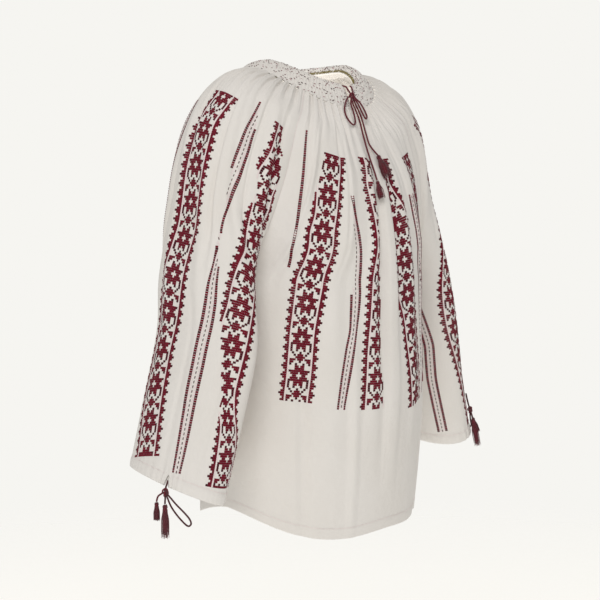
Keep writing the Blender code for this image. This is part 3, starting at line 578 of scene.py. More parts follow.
class Cloth:
    """Fine grid of one panel, which gives points and normals at any row and share."""

    def __init__(self, plan):
        self.plan = plan
        self.rows = np.concatenate([np.linspace(0, TOP_END, TOP_ROWS, endpoint=False),
                                    np.linspace(TOP_END, HEM_ROW, LOW_ROWS, endpoint=False),
                                    np.linspace(HEM_ROW, LAST_ROW, HEM_ROWS)])
        shares = np.linspace(0, 1, FINE_COLUMNS + 1)
        self.split = 0.5 if plan.slit else plan.vent
        if self.split is not None:
            shares = shares[np.abs(shares - self.split) > 0.5 / FINE_COLUMNS]
            shares = np.sort(np.concatenate([shares, [self.split - TINY, self.split + TINY]]))
        self.shares = shares
        fade = ease(np.minimum(shares, 1 - shares) / SEAM_FADE)
        lines = []
        for row in self.rows:
            at = shares
            if plan.vent is not None and row >= VENT_ROW:
                at = vent_shift(row, shares, plan.vent)
            base = plan.line(row, at)
            normals = row_normals(plan.line, row, at, plan.outward)
            if row < RING_BLEND:
                edge = ring_normal(ring_angle(plan.line(0, shares)))
                normals = unit(edge + (normals - edge) * row / RING_BLEND)
            height = (gather_height(row, shares, plan.seed)
                      + fold_height(plan.folds, row, shares)
                      + fold_height(plan.creases, row, shares)) * fade
            height = height + hem_height(row, shares, run_of(base)[-1], plan.hem, plan.vent)
            lines.append(base + normals * height[:, None])
        side = np.array([plan.turn, 1, 1])
        self.points = np.array(lines) * side
        down = np.gradient(self.points, axis=0)
        across = np.gradient(self.points, axis=1)
        if self.split is not None:
            j = int(np.searchsorted(shares, self.split))
            across[:, j - 1] = across[:, j - 2]
            across[:, j] = across[:, j + 1]
        self.normals = unit(np.cross(across, down)) * plan.outward * plan.turn
        self.down = run_of(self.points[:, FINE_COLUMNS // 4])

    def at(self, rows, shares, lift=0.0):
        """Points lifted off the cloth at rows and shares."""
        rows, shares = np.broadcast_arrays(np.asarray(rows, float), np.asarray(shares, float))
        i, j = (np.clip(np.interp(wanted, known, np.arange(len(known))), 0, len(known) - 1.001)
                for wanted, known in ((rows, self.rows), (shares, self.shares)))
        i0, j0 = i.astype(int), j.astype(int)
        u, v = (i - i0)[..., None], (j - j0)[..., None]
        found = []
        for grid in (self.points, self.normals):
            found.append((grid[i0, j0] * (1 - u) + grid[i0 + 1, j0] * u) * (1 - v)
                         + (grid[i0, j0 + 1] * (1 - u) + grid[i0 + 1, j0 + 1] * u) * v)
        normals = unit(found[1])
        return found[0] + normals * np.asarray(lift)[..., None], normals

    def mesh(self, name, material):
        """The panel as one open sheet, its hem turned in."""
        plan = self.plan
        rows = list(self.points)
        weave = list(self.down)
        last, inward = self.points[-1], -self.normals[-1]
        down = unit(self.points[-1] - self.points[-2])
        for drop, turned in CURL:
            rows.append(last + down * drop * plan.roll + inward * turned * plan.roll)
            weave.append(weave[-1] + CURL_RUN)
        for row in RETURN_ROWS:
            k = int(np.searchsorted(self.rows, row))
            rows.append(self.points[k] - self.normals[k] * (RETURN_DEPTH + plan.hem))
            weave.append(weave[-1] + RETURN_RUN)
        points = np.array(rows)
        count, columns = points.shape[:2]
        number = np.arange(count * columns).reshape(count, columns)
        quads = grid_quads(number)
        keep = np.ones(quads.shape[:2], bool)
        ends = []
        if self.split is not None:
            j = int(np.searchsorted(self.shares, self.split)) - 1
            every = np.concatenate([self.rows, np.full(count - len(self.rows), LAST_ROW)])[:-1]
            open_rows = every <= SLIT_END_ROW + SLIT_SEWN if plan.slit else every >= VENT_ROW
            keep[open_rows, j] = False
            if plan.vent is not None:
                first = int(np.argmax(open_rows))
                ends = [list(number[first:, j]), list(number[first:, j + 1][::-1])]
        faces = quads[keep].tolist() + [[int(v) for v in end] for end in ends]
        place = np.stack(np.broadcast_arrays(self.shares[None, :] * plan.flat[0] / MM,
                                             np.array(weave)[:, None], 0.0), -1)
        thing = add_mesh(name, points.reshape(-1, 3), faces, [material],
                         vectors={"cloth_at": place.reshape(-1, 3)})
        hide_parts(plan.node)
        return finish_piece(thing)


Plan = namedtuple("Plan", "node line outward folds creases seed flat hem roll turn slit vent",
                  defaults=(1, False, None))
PLANS = {
    "front": Plan("front_panel", body_row, -1, FRONT_FOLDS, FRONT_CREASES, 1, (0.47, 0.56),
                  BODY_HEM, 0.7, slit=True),
    "back": Plan("back_panel", back_row, 1, BACK_FOLDS, BACK_CREASES, 2, (0.44, 0.56),
                 BODY_HEM, 0.7),
    "right": Plan("sleeve_right", sleeve_row, 1, SLEEVE_FOLDS, SLEEVE_CREASES, 3,
                  (0.36, 0.56), CUFF_HEM, 1.0, vent=VENT_RIGHT),
    "left": Plan("sleeve_left", sleeve_row, 1, SLEEVE_FOLDS, SLEEVE_CREASES, 4,
                 (0.36, 0.56), CUFF_HEM, 1.0, turn=-1, vent=VENT_LEFT),
}
CLOTHS = {}


def cloth(name):
    """The fine grid of a panel, made once."""
    if name not in CLOTHS:
        CLOTHS[name] = Cloth(PLANS[name])
    return CLOTHS[name]


def add_mesh(name, points, faces, materials, vectors=None, values=None, kinds=None):
    """A mesh piece from points in millimetres and faces of point numbers."""
    data = bpy.data.meshes.new(name)
    points = np.asarray(points, float) * MM
    data.vertices.add(len(points))
    data.vertices.foreach_set("co", points.ravel())
    if isinstance(faces, np.ndarray):
        loops = faces.ravel()
        starts = np.arange(len(faces)) * faces.shape[1]
    else:
        sizes = np.array([len(face) for face in faces])
        loops = np.concatenate([np.asarray(face) for face in faces])
        starts = np.concatenate([[0], np.cumsum(sizes)[:-1]])
    data.loops.add(len(loops))
    data.loops.foreach_set("vertex_index", loops.astype(np.int32))
    data.polygons.add(len(starts))
    data.polygons.foreach_set("loop_start", starts.astype(np.int32))
    for material in materials:
        data.materials.append(material)
    if kinds is not None:
        data.polygons.foreach_set("material_index", np.asarray(kinds, np.int32))
    data.update(calc_edges=True)
    data.validate()
    data.shade_smooth()
    for kind, wanted, field in (("FLOAT_VECTOR", vectors, "vector"), ("FLOAT", values, "value")):
        for label, numbers in (wanted or {}).items():
            layer = data.attributes.new(label, kind, "POINT")
            layer.data.foreach_set(field, np.asarray(numbers, np.float32).ravel())
    thing = bpy.data.objects.new(name, data)
    bpy.context.scene.collection.objects.link(thing)
    return thing


def grid_quads(number):
    """Faces between the rows and columns of a table of point numbers."""
    return np.stack([number[:-1, :-1], number[:-1, 1:], number[1:, 1:], number[1:, :-1]], -1)


def tube_quads(number):
    """The same round a tube, whose last column meets its first."""
    return grid_quads(np.concatenate([number, number[:, :1]], 1)).reshape(-1, 4).tolist()


def finish_piece(thing):
    """A piece rides on the blouse's one body."""
    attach(thing, BODY)
    return thing


class Heap:
    """Many small shapes gathered into one mesh."""

    def __init__(self):
        self.points, self.faces, self.kinds, self.shade, self.ply = [], [], [], [], []
        self.count = 0

    def add(self, points, faces, kind, shade, ply):
        """Shapes of the same build: points (n, v, 3), faces (f, 3), one kind and shade each."""
        n, v = points.shape[:2]
        if n == 0:
            return
        self.points.append(points.reshape(-1, 3))
        number = self.count + np.arange(n)[:, None, None] * v + np.asarray(faces)[None]
        self.faces.append(number.reshape(-1, number.shape[-1]))
        self.kinds.append(np.repeat(np.broadcast_to(kind, n), len(faces)))
        self.shade.append(np.repeat(np.broadcast_to(shade, n), v))
        self.ply.append(ply.reshape(-1, 3))
        self.count += n * v

    def build(self, name, materials):
        """The heap as one mesh piece."""
        return add_mesh(name, np.concatenate(self.points), np.concatenate(self.faces),
                        materials, {"ply_at": np.concatenate(self.ply)},
                        {"shade": np.concatenate(self.shade)}, np.concatenate(self.kinds))


def add_strands(heap, starts, ends, normals, width, lift, kind, shade, blunt=0.6):
    """Straight raised stitches from starts to ends, fuller at their middles."""
    along = ends - starts
    length = np.linalg.norm(along, axis=-1, keepdims=True)
    side = unit(np.cross(normals, along)) * width / 2
    middle = (starts + ends) / 2
    low, high = normals * lift * 0.25, normals * lift
    points = np.stack([starts + side * blunt + low * 0.4, starts - side * blunt + low * 0.4,
                       middle + side + low, middle + high, middle - side + low,
                       ends + side * blunt + low * 0.4, ends - side * blunt + low * 0.4], 1)
    faces = ((0, 1, 3), (0, 3, 2), (1, 4, 3), (2, 3, 5), (3, 4, 6), (3, 6, 5))
    run = np.concatenate([0 * length, 0 * length, length / 2, length / 2, length / 2,
                          length, length], 1)
    across = np.array([1, -1, 1, 0, -1, 1, -1]) * np.broadcast_to(width, length.shape) / 2
    heap.add(points, faces, kind, shade, np.stack([run, across, 0 * run], -1))


Column = namedtuple("Column", "cells marks")


def smoothed(values, reach):
    """Values averaged over their neighbours up to a reach."""
    kernel = np.ones(2 * reach + 1) / (2 * reach + 1)
    return np.convolve(np.pad(values, reach, mode="edge"), kernel, mode="valid")


def column_lattice(sheet, column):
    """Corners of a column's cells on the cloth, their normals, and which cells show."""
    marks = np.array(column.marks, float)
    rows = np.linspace(marks[0, 0], marks[-1, 0], LATTICE_SAMPLES)
    table = [smoothed(np.interp(rows, marks[:, 0], marks[:, k]), SMOOTH_REACH)
             for k in range(1, 5)]
    left, right, first, last = table
    middle = left - first / (last - first) * (right - left)
    line, _ = sheet.at(rows, middle)
    length = run_of(line)
    count = int(length[-1] / CELL_LONG)
    at_rows = np.interp(np.arange(count + 1) * CELL_LONG, length, rows)
    along = np.gradient(line, rows, axis=0)
    sideways = (sheet.at(rows, middle + SHARE_STEP)[0]
                - sheet.at(rows, middle - SHARE_STEP)[0]) / (2 * SHARE_STEP)
    slant = smoothed((along * sideways).sum(1) / (along * along).sum(1), SLANT_REACH)
    slant = np.interp(at_rows, rows, slant)
    half = column.cells / 2
    edges = np.linspace(-half, half, column.cells + 1)

    def share_at(row, edge):
        """Share across the panel of a cell's edge at a row."""
        from_share, to_share, from_cell, to_cell = (
            np.interp(row, rows, values) for values in table)
        return from_share + (edge - from_cell) / (to_cell - from_cell) * (to_share - from_share)

    moved = share_at(at_rows[:, None], edges[None]) - np.interp(at_rows, rows, middle)[:, None]
    tilt = np.clip(-moved * slant[:, None], -TILT_LIMIT, TILT_LIMIT)
    row_grid = at_rows[:, None] + tilt
    share_grid = share_at(row_grid, edges[None])
    points, normals = sheet.at(row_grid, np.clip(share_grid, EDGE_SHARE, 1 - EDGE_SHARE),
                               STITCH_LIFT)
    centres = (edges[:-1] + edges[1:]) / 2
    mid_rows = (at_rows[:-1] + at_rows[1:]) / 2
    shown = ((centres[None] > np.interp(mid_rows, rows, first)[:, None])
             & (centres[None] < np.interp(mid_rows, rows, last)[:, None]))
    return points, normals, shown


def column_chart(cells, count, closed):
    """Letters of the stitches of a column: rows down it and cells across."""
    chart = np.full((count, cells), ".", dtype="<U1")
    for k in range(count):
        for j in range(cells):
            away = abs(j - cells // 2)
            if cells == WIDE_CELLS:
                if away < len(MOTIF[0]):
                    chart[k, j] = MOTIF[(k + MOTIF_START) % len(MOTIF)][away]
                elif away == len(MOTIF[0]):
                    chart[k, j] = "c"
                else:
                    chart[k, j] = BORDER[k % len(BORDER)][away - len(MOTIF[0]) - 1]
            elif away == 2:
                chart[k, j] = "D" if k % 3 == 2 else "X"
            else:
                chart[k, j] = "w" if away else "d" if k % 2 else "."
    if cells == WIDE_CELLS:
        solid = [0, -1] if closed else [0]
        chart[solid] = np.where(chart[solid] == ".", "X", chart[solid])
    return chart


def add_column(heap, sheet, column, seed):
    """The crosses, chains and bars of one sewn column."""
    points, normals, shown = column_lattice(sheet, column)
    chart = column_chart(column.cells, len(points) - 1, column.marks[-1][0] > CLOSED_ROW)
    tops = (points[:-1, :-1] + points[:-1, 1:]) / 2
    lows = (points[1:, :-1] + points[1:, 1:]) / 2
    middles = (tops + lows) / 2
    aside = (points[:-1, 1:] + points[1:, 1:]) / 2 - middles
    down = lows - tops
    flat = unit(normals[:-1, :-1] + normals[1:, 1:])
    width = CROSS_WIDTH if column.cells == WIDE_CELLS else LINE_WIDTH
    for letter, kind in (("X", 0), ("D", 1)):
        i, j = np.nonzero((chart == letter) & shown)
        shade = uneven(i * 31 + j, seed) * 0.5 + uneven(i // 6 + 9 * j // 8, seed + 1) * 0.5
        reach, rise = aside[i, j] * 2 * CROSS_REACH, down[i, j] * CROSS_RISE
        for turn, lift in ((1, 1.0), (-1, CROSS_OVER)):
            add_strands(heap, middles[i, j] - reach - rise * turn,
                        middles[i, j] + reach + rise * turn, flat[i, j], width,
                        CROSS_LIFT * lift, kind, shade, CROSS_BLUNT)
    i, j = np.nonzero((chart == "d") & shown)
    add_strands(heap, middles[i, j] - down[i, j] * DASH_REACH,
                middles[i, j] + down[i, j] * DASH_REACH, flat[i, j], DASH_WIDTH, CROSS_LIFT, 1,
                uneven(i, seed + 3))
    i, j = np.nonzero((chart == "c") & shown)
    for turn in (-1, 1):
        add_strands(heap, tops[i, j] - down[i, j] * CHAIN_OVER,
                    lows[i, j] + down[i, j] * CHAIN_OVER + aside[i, j] * 2 * CHAIN_SPREAD * turn,
                    flat[i, j], CHAIN_WIDTH, CHAIN_LIFT, 2, uneven(i * 7 + j, seed + 2))
    i, j = np.nonzero((chart == "w") & shown)
    add_strands(heap, middles[i, j] - aside[i, j] * BAR_REACH,
                middles[i, j] + aside[i, j] * BAR_REACH, flat[i, j], BAR_WIDTH, BAR_LIFT, 2,
                uneven(i * 5 + j, seed + 4))


# Columns of cross-stitch: row, left and right edge as shares, first and last
# cell that shows.  A wide column has 19 cells and a narrow one 5
WIDE_CELLS = 19
NARROW_CELLS = 5
HALF = 9.5
SLIM = 2.5


def wide(*marks):
    """A wide column, its cells from first to last where a fold hides a side."""
    return Column(WIDE_CELLS, tuple((*mark[:3], *(mark[3:] or (-HALF, HALF))) for mark in marks))


def narrow(*marks):
    """A narrow column."""
    return Column(NARROW_CELLS, tuple((*mark[:3], *(mark[3:] or (-SLIM, SLIM))) for mark in marks))


def mirrored(column):
    """The same column on the other half of a panel."""
    return Column(column.cells, tuple((row, 1 - right, 1 - left, -last, -first)
                                      for row, left, right, first, last in column.marks))


FRONT_SIDE = narrow((1.95, 0.052, 0.060, -2.5, -1.6), (2.85, 0.064, 0.072, -2.5, -1.6),
                    (3.89, 0.082, 0.090, -2.5, -1.7), (4.69, 0.101, 0.107, -2.5, -1.7),
                    (5.09, 0.112, 0.118, -2.5, -1.7), (5.62, 0.150, 0.156, -2.5, -1.7))
FRONT_OUTER = wide((2.46, 0.164, 0.282, -5.5, 9.5), (3.25, 0.147, 0.268, -5.5, 9.5),
                   (4.12, 0.135, 0.263), (4.57, 0.130, 0.263), (5.99, 0.185, 0.292),
                   (6.99, 0.170, 0.265), (7.75, 0.165, 0.258), (8.15, 0.158, 0.250))
FRONT_SLIM = narrow((3.59, 0.297, 0.307, 1.5, 2.5), (4.09, 0.312, 0.325, 1.5, 2.5),
                    (4.49, 0.312, 0.343, -0.5, 2.5), (4.65, 0.318, 0.350, -0.5, 2.5),
                    (5.11, 0.338, 0.365, -0.5, 2.5), (5.76, 0.360, 0.383, -0.5, 2.5),
                    (6.09, 0.365, 0.385, -0.5, 2.5), (6.31, 0.352, 0.385),
                    (6.63, 0.350, 0.380), (6.94, 0.348, 0.372), (7.29, 0.335, 0.362),
                    (7.79, 0.320, 0.348), (8.26, 0.310, 0.333))
FRONT_COLUMNS = (
    FRONT_SIDE, FRONT_OUTER, FRONT_SLIM,
    wide((2.49, 0.379, 0.471, -9.5, -0.0), (3.22, 0.365, 0.427, -9.5, -2.0),
         (4.15, 0.388, 0.438, -9.5, -2.5), (4.97, 0.403, 0.443, -9.5, -3.5),
         (5.40, 0.400, 0.455, -9.5, -1.0), (6.02, 0.400, 0.460, -9.5, 1.5),
         (6.77, 0.393, 0.458, -9.5, 2.5), (7.47, 0.383, 0.450, -9.5, 3.5),
         (8.30, 0.375, 0.463, -9.5, 6.5)),
    wide((2.40, 0.541, 0.596, 3.7, 9.5), (3.22, 0.505, 0.580, 1.0, 9.5),
         (4.20, 0.542, 0.645, -2.0, 9.5), (5.05, 0.503, 0.640), (5.75, 0.503, 0.640),
         (6.35, 0.508, 0.640), (6.90, 0.542, 0.660), (7.40, 0.550, 0.665),
         (7.90, 0.560, 0.670), (8.35, 0.570, 0.680)),
    narrow((3.6, 0.690, 0.716), (5.0, 0.690, 0.722), (6.0, 0.695, 0.726), (7.0, 0.700, 0.730),
           (8.3, 0.705, 0.735)),
    mirrored(FRONT_OUTER), mirrored(FRONT_SIDE),
)
BACK_COLUMNS = tuple(
    wide((2.25, middle - 0.062, middle + 0.062), (3.2, middle - 0.066, middle + 0.066),
         (4.2, middle + lean - 0.069, middle + lean + 0.069),
         (5.2, middle + lean - 0.062, middle + lean + 0.062),
         (6.2, middle - 0.058, middle + 0.058), (8.25, middle - 0.058, middle + 0.058))
    for middle, lean in ((0.20, -0.006), (0.40, 0.004), (0.605, -0.003), (0.80, 0.006))
) + tuple(
    narrow((2.6 + 0.2 * k, middle - 0.014, middle + 0.014, -2.5, 2.5),
           (4.2, middle - 0.019, middle + 0.019), (6.2, middle - 0.017, middle + 0.017),
           (8.25, middle - 0.017, middle + 0.017))
    for k, middle in enumerate((0.30, 0.503, 0.702))
)
SLEEVE_FRONT = (
    narrow((2.03, 0.238, 0.247, 1.5, 2.5), (2.60, 0.240, 0.268, -0.5, 2.5),
           (2.95, 0.238, 0.285), (3.55, 0.247, 0.302), (4.17, 0.270, 0.325),
           (4.32, 0.275, 0.312, -2.5, 0.5), (4.85, 0.305, 0.343, -2.5, 0.5),
           (4.99, 0.312, 0.323, -2.5, -1.5), (5.39, 0.352, 0.360, -2.5, -1.5),
           (5.89, 0.378, 0.385, -2.5, -1.5), (5.97, 0.380, 0.388, 1.5, 2.5),
           (6.37, 0.385, 0.395, 1.5, 2.5), (6.54, 0.372, 0.395), (7.34, 0.378, 0.422),
           (8.11, 0.403, 0.448), (8.81, 0.400, 0.445), (9.45, 0.395, 0.432),
           (9.82, 0.395, 0.425)),
    wide((2.20, 0.088, 0.145, 3.2, 9.5), (2.63, 0.080, 0.155, 0.3, 9.5),
         (3.05, 0.052, 0.165, -5, 9.5), (3.35, 0.040, 0.188, -5, 9.5),
         (3.84, 0.062, 0.185, -7, 5.5), (4.30, 0.043, 0.182, -9.5, 6),
         (4.90, 0.080, 0.240), (5.87, 0.145, 0.318), (7.03, 0.210, 0.350),
         (7.49, 0.235, 0.367), (7.71, 0.245, 0.367, -9.5, 6.5),
         (8.11, 0.258, 0.355, -9.5, 4.4), (8.31, 0.260, 0.345, -9.5, 2.2),
         (8.63, 0.263, 0.330, -9.5, 0), (8.80, 0.263, 0.320, -9.5, 0.3),
         (8.96, 0.253, 0.318), (9.30, 0.200, 0.315), (9.47, 0.188, 0.310),
         (9.67, 0.188, 0.307), (9.82, 0.185, 0.303)),
    narrow((6.20, 0.040, 0.080), (8.36, 0.123, 0.163), (8.93, 0.115, 0.155),
           (9.80, 0.124, 0.164)),
)
SLEEVE_TOP = ((2.20, 0.352, 0.504), (3.17, 0.411, 0.574), (4.05, 0.422, 0.595),
              (4.82, 0.440, 0.597), (5.72, 0.450, 0.590))
SLEEVE_BACK = (
    narrow((2.10, 0.680, 0.720), (4.00, 0.733, 0.773), (6.00, 0.738, 0.778),
           (8.00, 0.748, 0.786), (9.80, 0.716, 0.756)),
    wide((2.30, 0.765, 0.875), (4.00, 0.812, 0.950), (6.00, 0.820, 0.952),
         (8.00, 0.838, 0.970), (9.80, 0.797, 0.935)),
)
RIGHT_COLUMNS = SLEEVE_FRONT + SLEEVE_BACK + (
    wide(*SLEEVE_TOP, (6.39, 0.478, 0.610), (7.49, 0.510, 0.665), (8.25, 0.534, 0.675),
         (9.05, 0.512, 0.668), (9.80, 0.487, 0.620)),)
LEFT_COLUMNS = SLEEVE_FRONT[-1:] + SLEEVE_BACK + (
    wide((2.20, 0.115, 0.215), (3.00, 0.165, 0.290), (4.00, 0.245, 0.375),
         (4.70, 0.285, 0.418), (5.50, 0.290, 0.422), (6.20, 0.275, 0.408),
         (6.60, 0.250, 0.384), (6.90, 0.225, 0.360), (7.20, 0.207, 0.345),
         (7.50, 0.197, 0.335), (7.90, 0.193, 0.330), (8.25, 0.199, 0.328),
         (8.56, 0.215, 0.338), (8.96, 0.236, 0.352), (9.30, 0.250, 0.362),
         (9.82, 0.268, 0.376)),
    narrow((2.40, 0.238, 0.262), (3.50, 0.360, 0.398), (4.70, 0.440, 0.478),
           (6.20, 0.430, 0.468), (7.50, 0.372, 0.412), (8.90, 0.402, 0.442),
           (9.80, 0.412, 0.446)),
    wide((2.20, 0.365, 0.504), (3.17, 0.432, 0.574), (4.05, 0.492, 0.622),
         (4.82, 0.510, 0.640), (5.72, 0.500, 0.635), (6.39, 0.500, 0.633),
         (7.49, 0.545, 0.690), (8.25, 0.585, 0.715), (9.05, 0.580, 0.710),
         (9.80, 0.560, 0.690)),
)
SEWN = {"front": FRONT_COLUMNS, "back": BACK_COLUMNS, "right": RIGHT_COLUMNS,
        "left": LEFT_COLUMNS}

# A column's pattern from its middle outward, and its toothed borders from the
# white line outward: X burgundy, D dark, w white bar, c white chain
MOTIF = ("XXX...", "XX.XXX", "D...XX", "..D..D", ".XX...", "XXX...", "XXXXXD", ".XXXX.",
         "..XX..", ".XXXX.", "XXXXXD", "XXX..D", ".XX..D", "..D..D", "D...D.", "XX.D..")
BORDER = ("X..", "XX.", "XXD", "XX.")
MOTIF_START = 6

# The tie at the neck and at the cuffs, from where each cord leaves the cloth
NECK_RIGHT = (
    (-8.5, -65.6, -31.5), (-5.9, -69.9, -32.4), (-6.6, -73.7, -36.1), (-6.4, -77.0, -40.2),
    (-7.2, -79.9, -43.2),
    (-10.5, -78.9, -45.4), (-15.2, -79.5, -48.3), (-19.1, -80.7, -52.0), (-22.7, -82.3, -55.9),
    (-25.9, -84.1, -60.1), (-28.1, -86.4, -64.6), (-29.0, -89.0, -69.3), (-28.3, -91.6, -74.1),
    (-25.6, -93.8, -78.4), (-21.0, -94.9, -81.0), (-16.5, -93.7, -78.4), (-14.1, -91.6, -73.9),
    (-12.6, -89.3, -69.1), (-11.8, -87.0, -64.1), (-11.6, -84.7, -59.1), (-11.1, -82.6, -54.1),
    (-8.8, -80.9, -49.3), (-6.2, -79.2, -45.8), (-4.4, -77.4, -47.0),
    (-6.0, -80.7, -50.9), (-6.2, -82.7, -56.0), (-5.8, -85.3, -60.9), (-5.6, -87.8, -65.9),
    (-5.4, -90.1, -70.9), (-5.7, -92.4, -75.9), (-6.3, -94.6, -81.0), (-7.1, -96.7, -86.1),
    (-7.9, -98.9, -91.1), (-8.5, -101.0, -96.2), (-9.0, -103.2, -101.3), (-9.7, -105.4, -106.3),
    (-10.6, -108.0, -111.2), (-11.6, -110.6, -115.9), (-12.7, -113.4, -120.6),
    (-13.8, -116.1, -125.3), (-14.9, -119.0, -129.9), (-16.0, -121.8, -134.5),
    (-17.1, -124.7, -139.2), (-18.0, -127.3, -144.0), (-18.5, -129.6, -149.0))
NECK_LEFT = (
    (8.5, -65.6, -31.5), (5.3, -69.2, -31.8), (3.7, -72.5, -34.9), (1.8, -75.5, -38.2),
    (-1.2, -77.7, -41.4), (-2.2, -80.6, -44.2),
    (-1.1, -82.2, -47.7), (2.4, -84.8, -51.2), (5.0, -86.9, -55.7), (6.8, -89.0, -60.5),
    (7.9, -91.2, -65.5), (7.6, -93.5, -70.5), (3.8, -94.6, -73.1), (1.6, -92.5, -68.4),
    (0.4, -90.3, -63.5), (-1.1, -88.5, -58.4), (-2.5, -86.4, -53.4), (-3.8, -83.2, -49.1),
    (-4.4, -81.2, -45.6), (-2.6, -79.4, -46.4),
    (-2.4, -80.5, -50.2), (-1.1, -82.3, -55.3), (-0.6, -84.9, -60.1), (-0.3, -87.4, -65.0),
    (0.0, -89.7, -70.0), (-0.1, -92.0, -75.0), (-0.5, -94.2, -80.1), (-1.0, -96.3, -85.1),
    (-1.5, -98.5, -90.2), (-2.0, -100.7, -95.2), (-2.5, -102.9, -100.2), (-2.4, -105.3, -105.2),
    (-1.0, -108.1, -109.7), (0.8, -111.1, -114.0), (2.5, -114.5, -118.0))
CUFF_RIGHT = (
    (-292.5, -38.5, -490.4), (-294.4, -38.9, -493.8), (-296.0, -38.5, -497.4),
    (-297.6, -39.6, -501.6),
    (-295.9, -42.2, -506.7), (-294.9, -46.1, -510.3), (-294.0, -49.8, -514.0),
    (-293.0, -53.7, -517.5), (-292.0, -57.8, -520.8), (-290.9, -61.9, -524.2),
    (-289.8, -65.7, -527.8), (-288.6, -69.0, -531.8), (-287.7, -70.6, -536.8),
    (-288.3, -67.0, -540.4), (-289.4, -62.3, -538.2), (-290.4, -58.2, -534.9),
    (-291.6, -54.4, -531.2), (-292.7, -50.9, -527.3), (-293.8, -47.7, -523.2),
    (-294.7, -44.8, -518.8), (-295.4, -42.4, -514.0), (-296.0, -40.4, -509.1),
    (-297.2, -37.8, -504.2), (-296.9, -36.6, -506.2),
    (-296.5, -37.8, -509.4), (-296.5, -37.4, -513.4), (-296.4, -37.1, -517.4))
CUFF_LEFT = (
    (271.5, -76.4, -505.2), (273.1, -78.9, -501.4), (272.6, -78.0, -496.1),
    (272.2, -77.5, -490.7), (272.0, -77.2, -485.4), (272.8, -78.2, -480.0),
    (273.5, -74.3, -474.6), (274.4, -72.1, -470.0), (274.6, -70.4, -465.1),
    (273.5, -69.8, -460.1), (270.3, -71.1, -456.4), (267.4, -73.8, -459.4),
    (266.7, -75.5, -464.3), (267.1, -76.8, -469.3), (269.0, -77.2, -474.1),
    (271.4, -76.4, -478.2), (271.4, -77.8, -480.6),
    (269.9, -80.2, -483.2), (268.7, -82.4, -486.5), (268.2, -84.0, -490.2))
SIDE_TAILS = {
    "right": ((-296.9, -36.4, -503.8), (-298.1, -33.9, -505.3), (-299.6, -29.0, -509.2),
              (-300.2, -27.2, -515.4)),
    "left": ((273.4, -77.0, -480.4), (275.8, -76.3, -483.4), (278.3, -76.0, -487.1),
             (279.9, -76.3, -491.2)),
}
KNOTS = {"neck": (-5, -79.6, -45), "right": (-296.7, -38.2, -503.4),
         "left": (272, -77.1, -479.2)}
KNOT_RADII = (5.0, 4.2, 5.6)
# The two windings of a tassel's head, sized by the head: how many turns, where they
# start and end, width at the ends, how much wider in the middle, and the tone
Winding = namedtuple("Winding", "turns start end neck bulge tone")
WINDINGS = (Winding(3.5, 0.0, 1.55, 0.42, 0.58, 0.45), Winding(3.2, 1.5, 2.15, 0.84, 0.0, 0.1))
TOP_GAP = 0.1
Hanger = namedtuple("Hanger", "top head skirt length way")
TASSELS = {
    "neck_high": Hanger((2.5, -114.8, -118.6), 3.2, 6.2, 32, (-0.014, -0.526, -0.85)),
    "neck_low": Hanger((-18.4, -129.8, -149.7), 2.7, 4.9, 23, (0.104, -0.258, -0.96)),
    "long_right": Hanger((-296.4, -37.1, -518.1), 3.3, 4.8, 40, (0, 0, -1)),
    "short_right": Hanger((-300.2, -27.2, -516.1), 2.8, 4.0, 22, (0, 0, -1)),
    "long_left": Hanger((268.3, -84.1, -490.9), 3.3, 4.8, 40, (0.11, -0.163, -0.981)),
    "short_left": Hanger((280.0, -76.5, -491.9), 2.8, 4.0, 22, (0.191, -0.283, -0.94)),
}


def smooth_route(points, spacing):
    """Points at an even spacing on a smooth curve through a route's own points."""
    points = np.asarray(points, float)
    fine = np.array([spline(points, at) for at in
                     np.linspace(0, len(points) - 1, ROUTE_SAMPLES * len(points))])
    steps = max(int(round(run_of(fine)[-1] / spacing)), 2)
    path = even(fine, np.linspace(0, 1, steps + 1))
    for _ in range(ROUTE_SOFTEN):
        path[1:-1] = (path[:-2] + 2 * path[1:-1] + path[2:]) / 4
    return path


def route_frames(path):
    """Two steady directions across a route at each of its points."""
    along = unit(np.gradient(path, axis=0))
    side = np.cross(along[0], (0.3, 0.2, 1.0))
    sides = []
    for direction in along:
        side = side - direction * (side @ direction)
        side = side / np.linalg.norm(side)
        sides.append(side)
    sides = np.array(sides)
    return sides, np.cross(along, sides)


def twisted_tube(path, radius, turn_length, lobes=3, around=12, taper=1.0):
    """A round cord of twisted strands along a path: points, quads and ply marks."""
    first, second = route_frames(path)
    run = run_of(path)
    angle = 2 * math.pi * np.arange(around) / around
    phase = 2 * math.pi * run / turn_length
    bump = np.abs(np.cos(lobes / 2 * (angle[None] - phase[:, None])))
    size = radius * (1 - LOBE_DEPTH + LOBE_DEPTH * bump)
    size = size * np.linspace(1, taper, len(path))[:, None]
    points = (path[:, None] + first[:, None] * (size * np.cos(angle))[..., None]
              + second[:, None] * (size * np.sin(angle))[..., None])
    ends = np.stack([path[0], path[-1]])
    number = np.arange(len(path) * around).reshape(len(path), around)
    faces = tube_quads(number)
    start, end = len(path) * around, len(path) * around + 1
    for k in range(around):
        after = (k + 1) % around
        faces.append([start, int(number[0, after]), int(number[0, k])])
        faces.append([end, int(number[-1, k]), int(number[-1, after])])
    ply = np.stack([np.repeat(run, around), np.tile(angle, len(path)) * radius,
                    0 * np.repeat(run, around)], -1)
    return (np.concatenate([points.reshape(-1, 3), ends]), faces,
            np.concatenate([ply, [[0, 0, 0], [run[-1], 0, 0]]]))


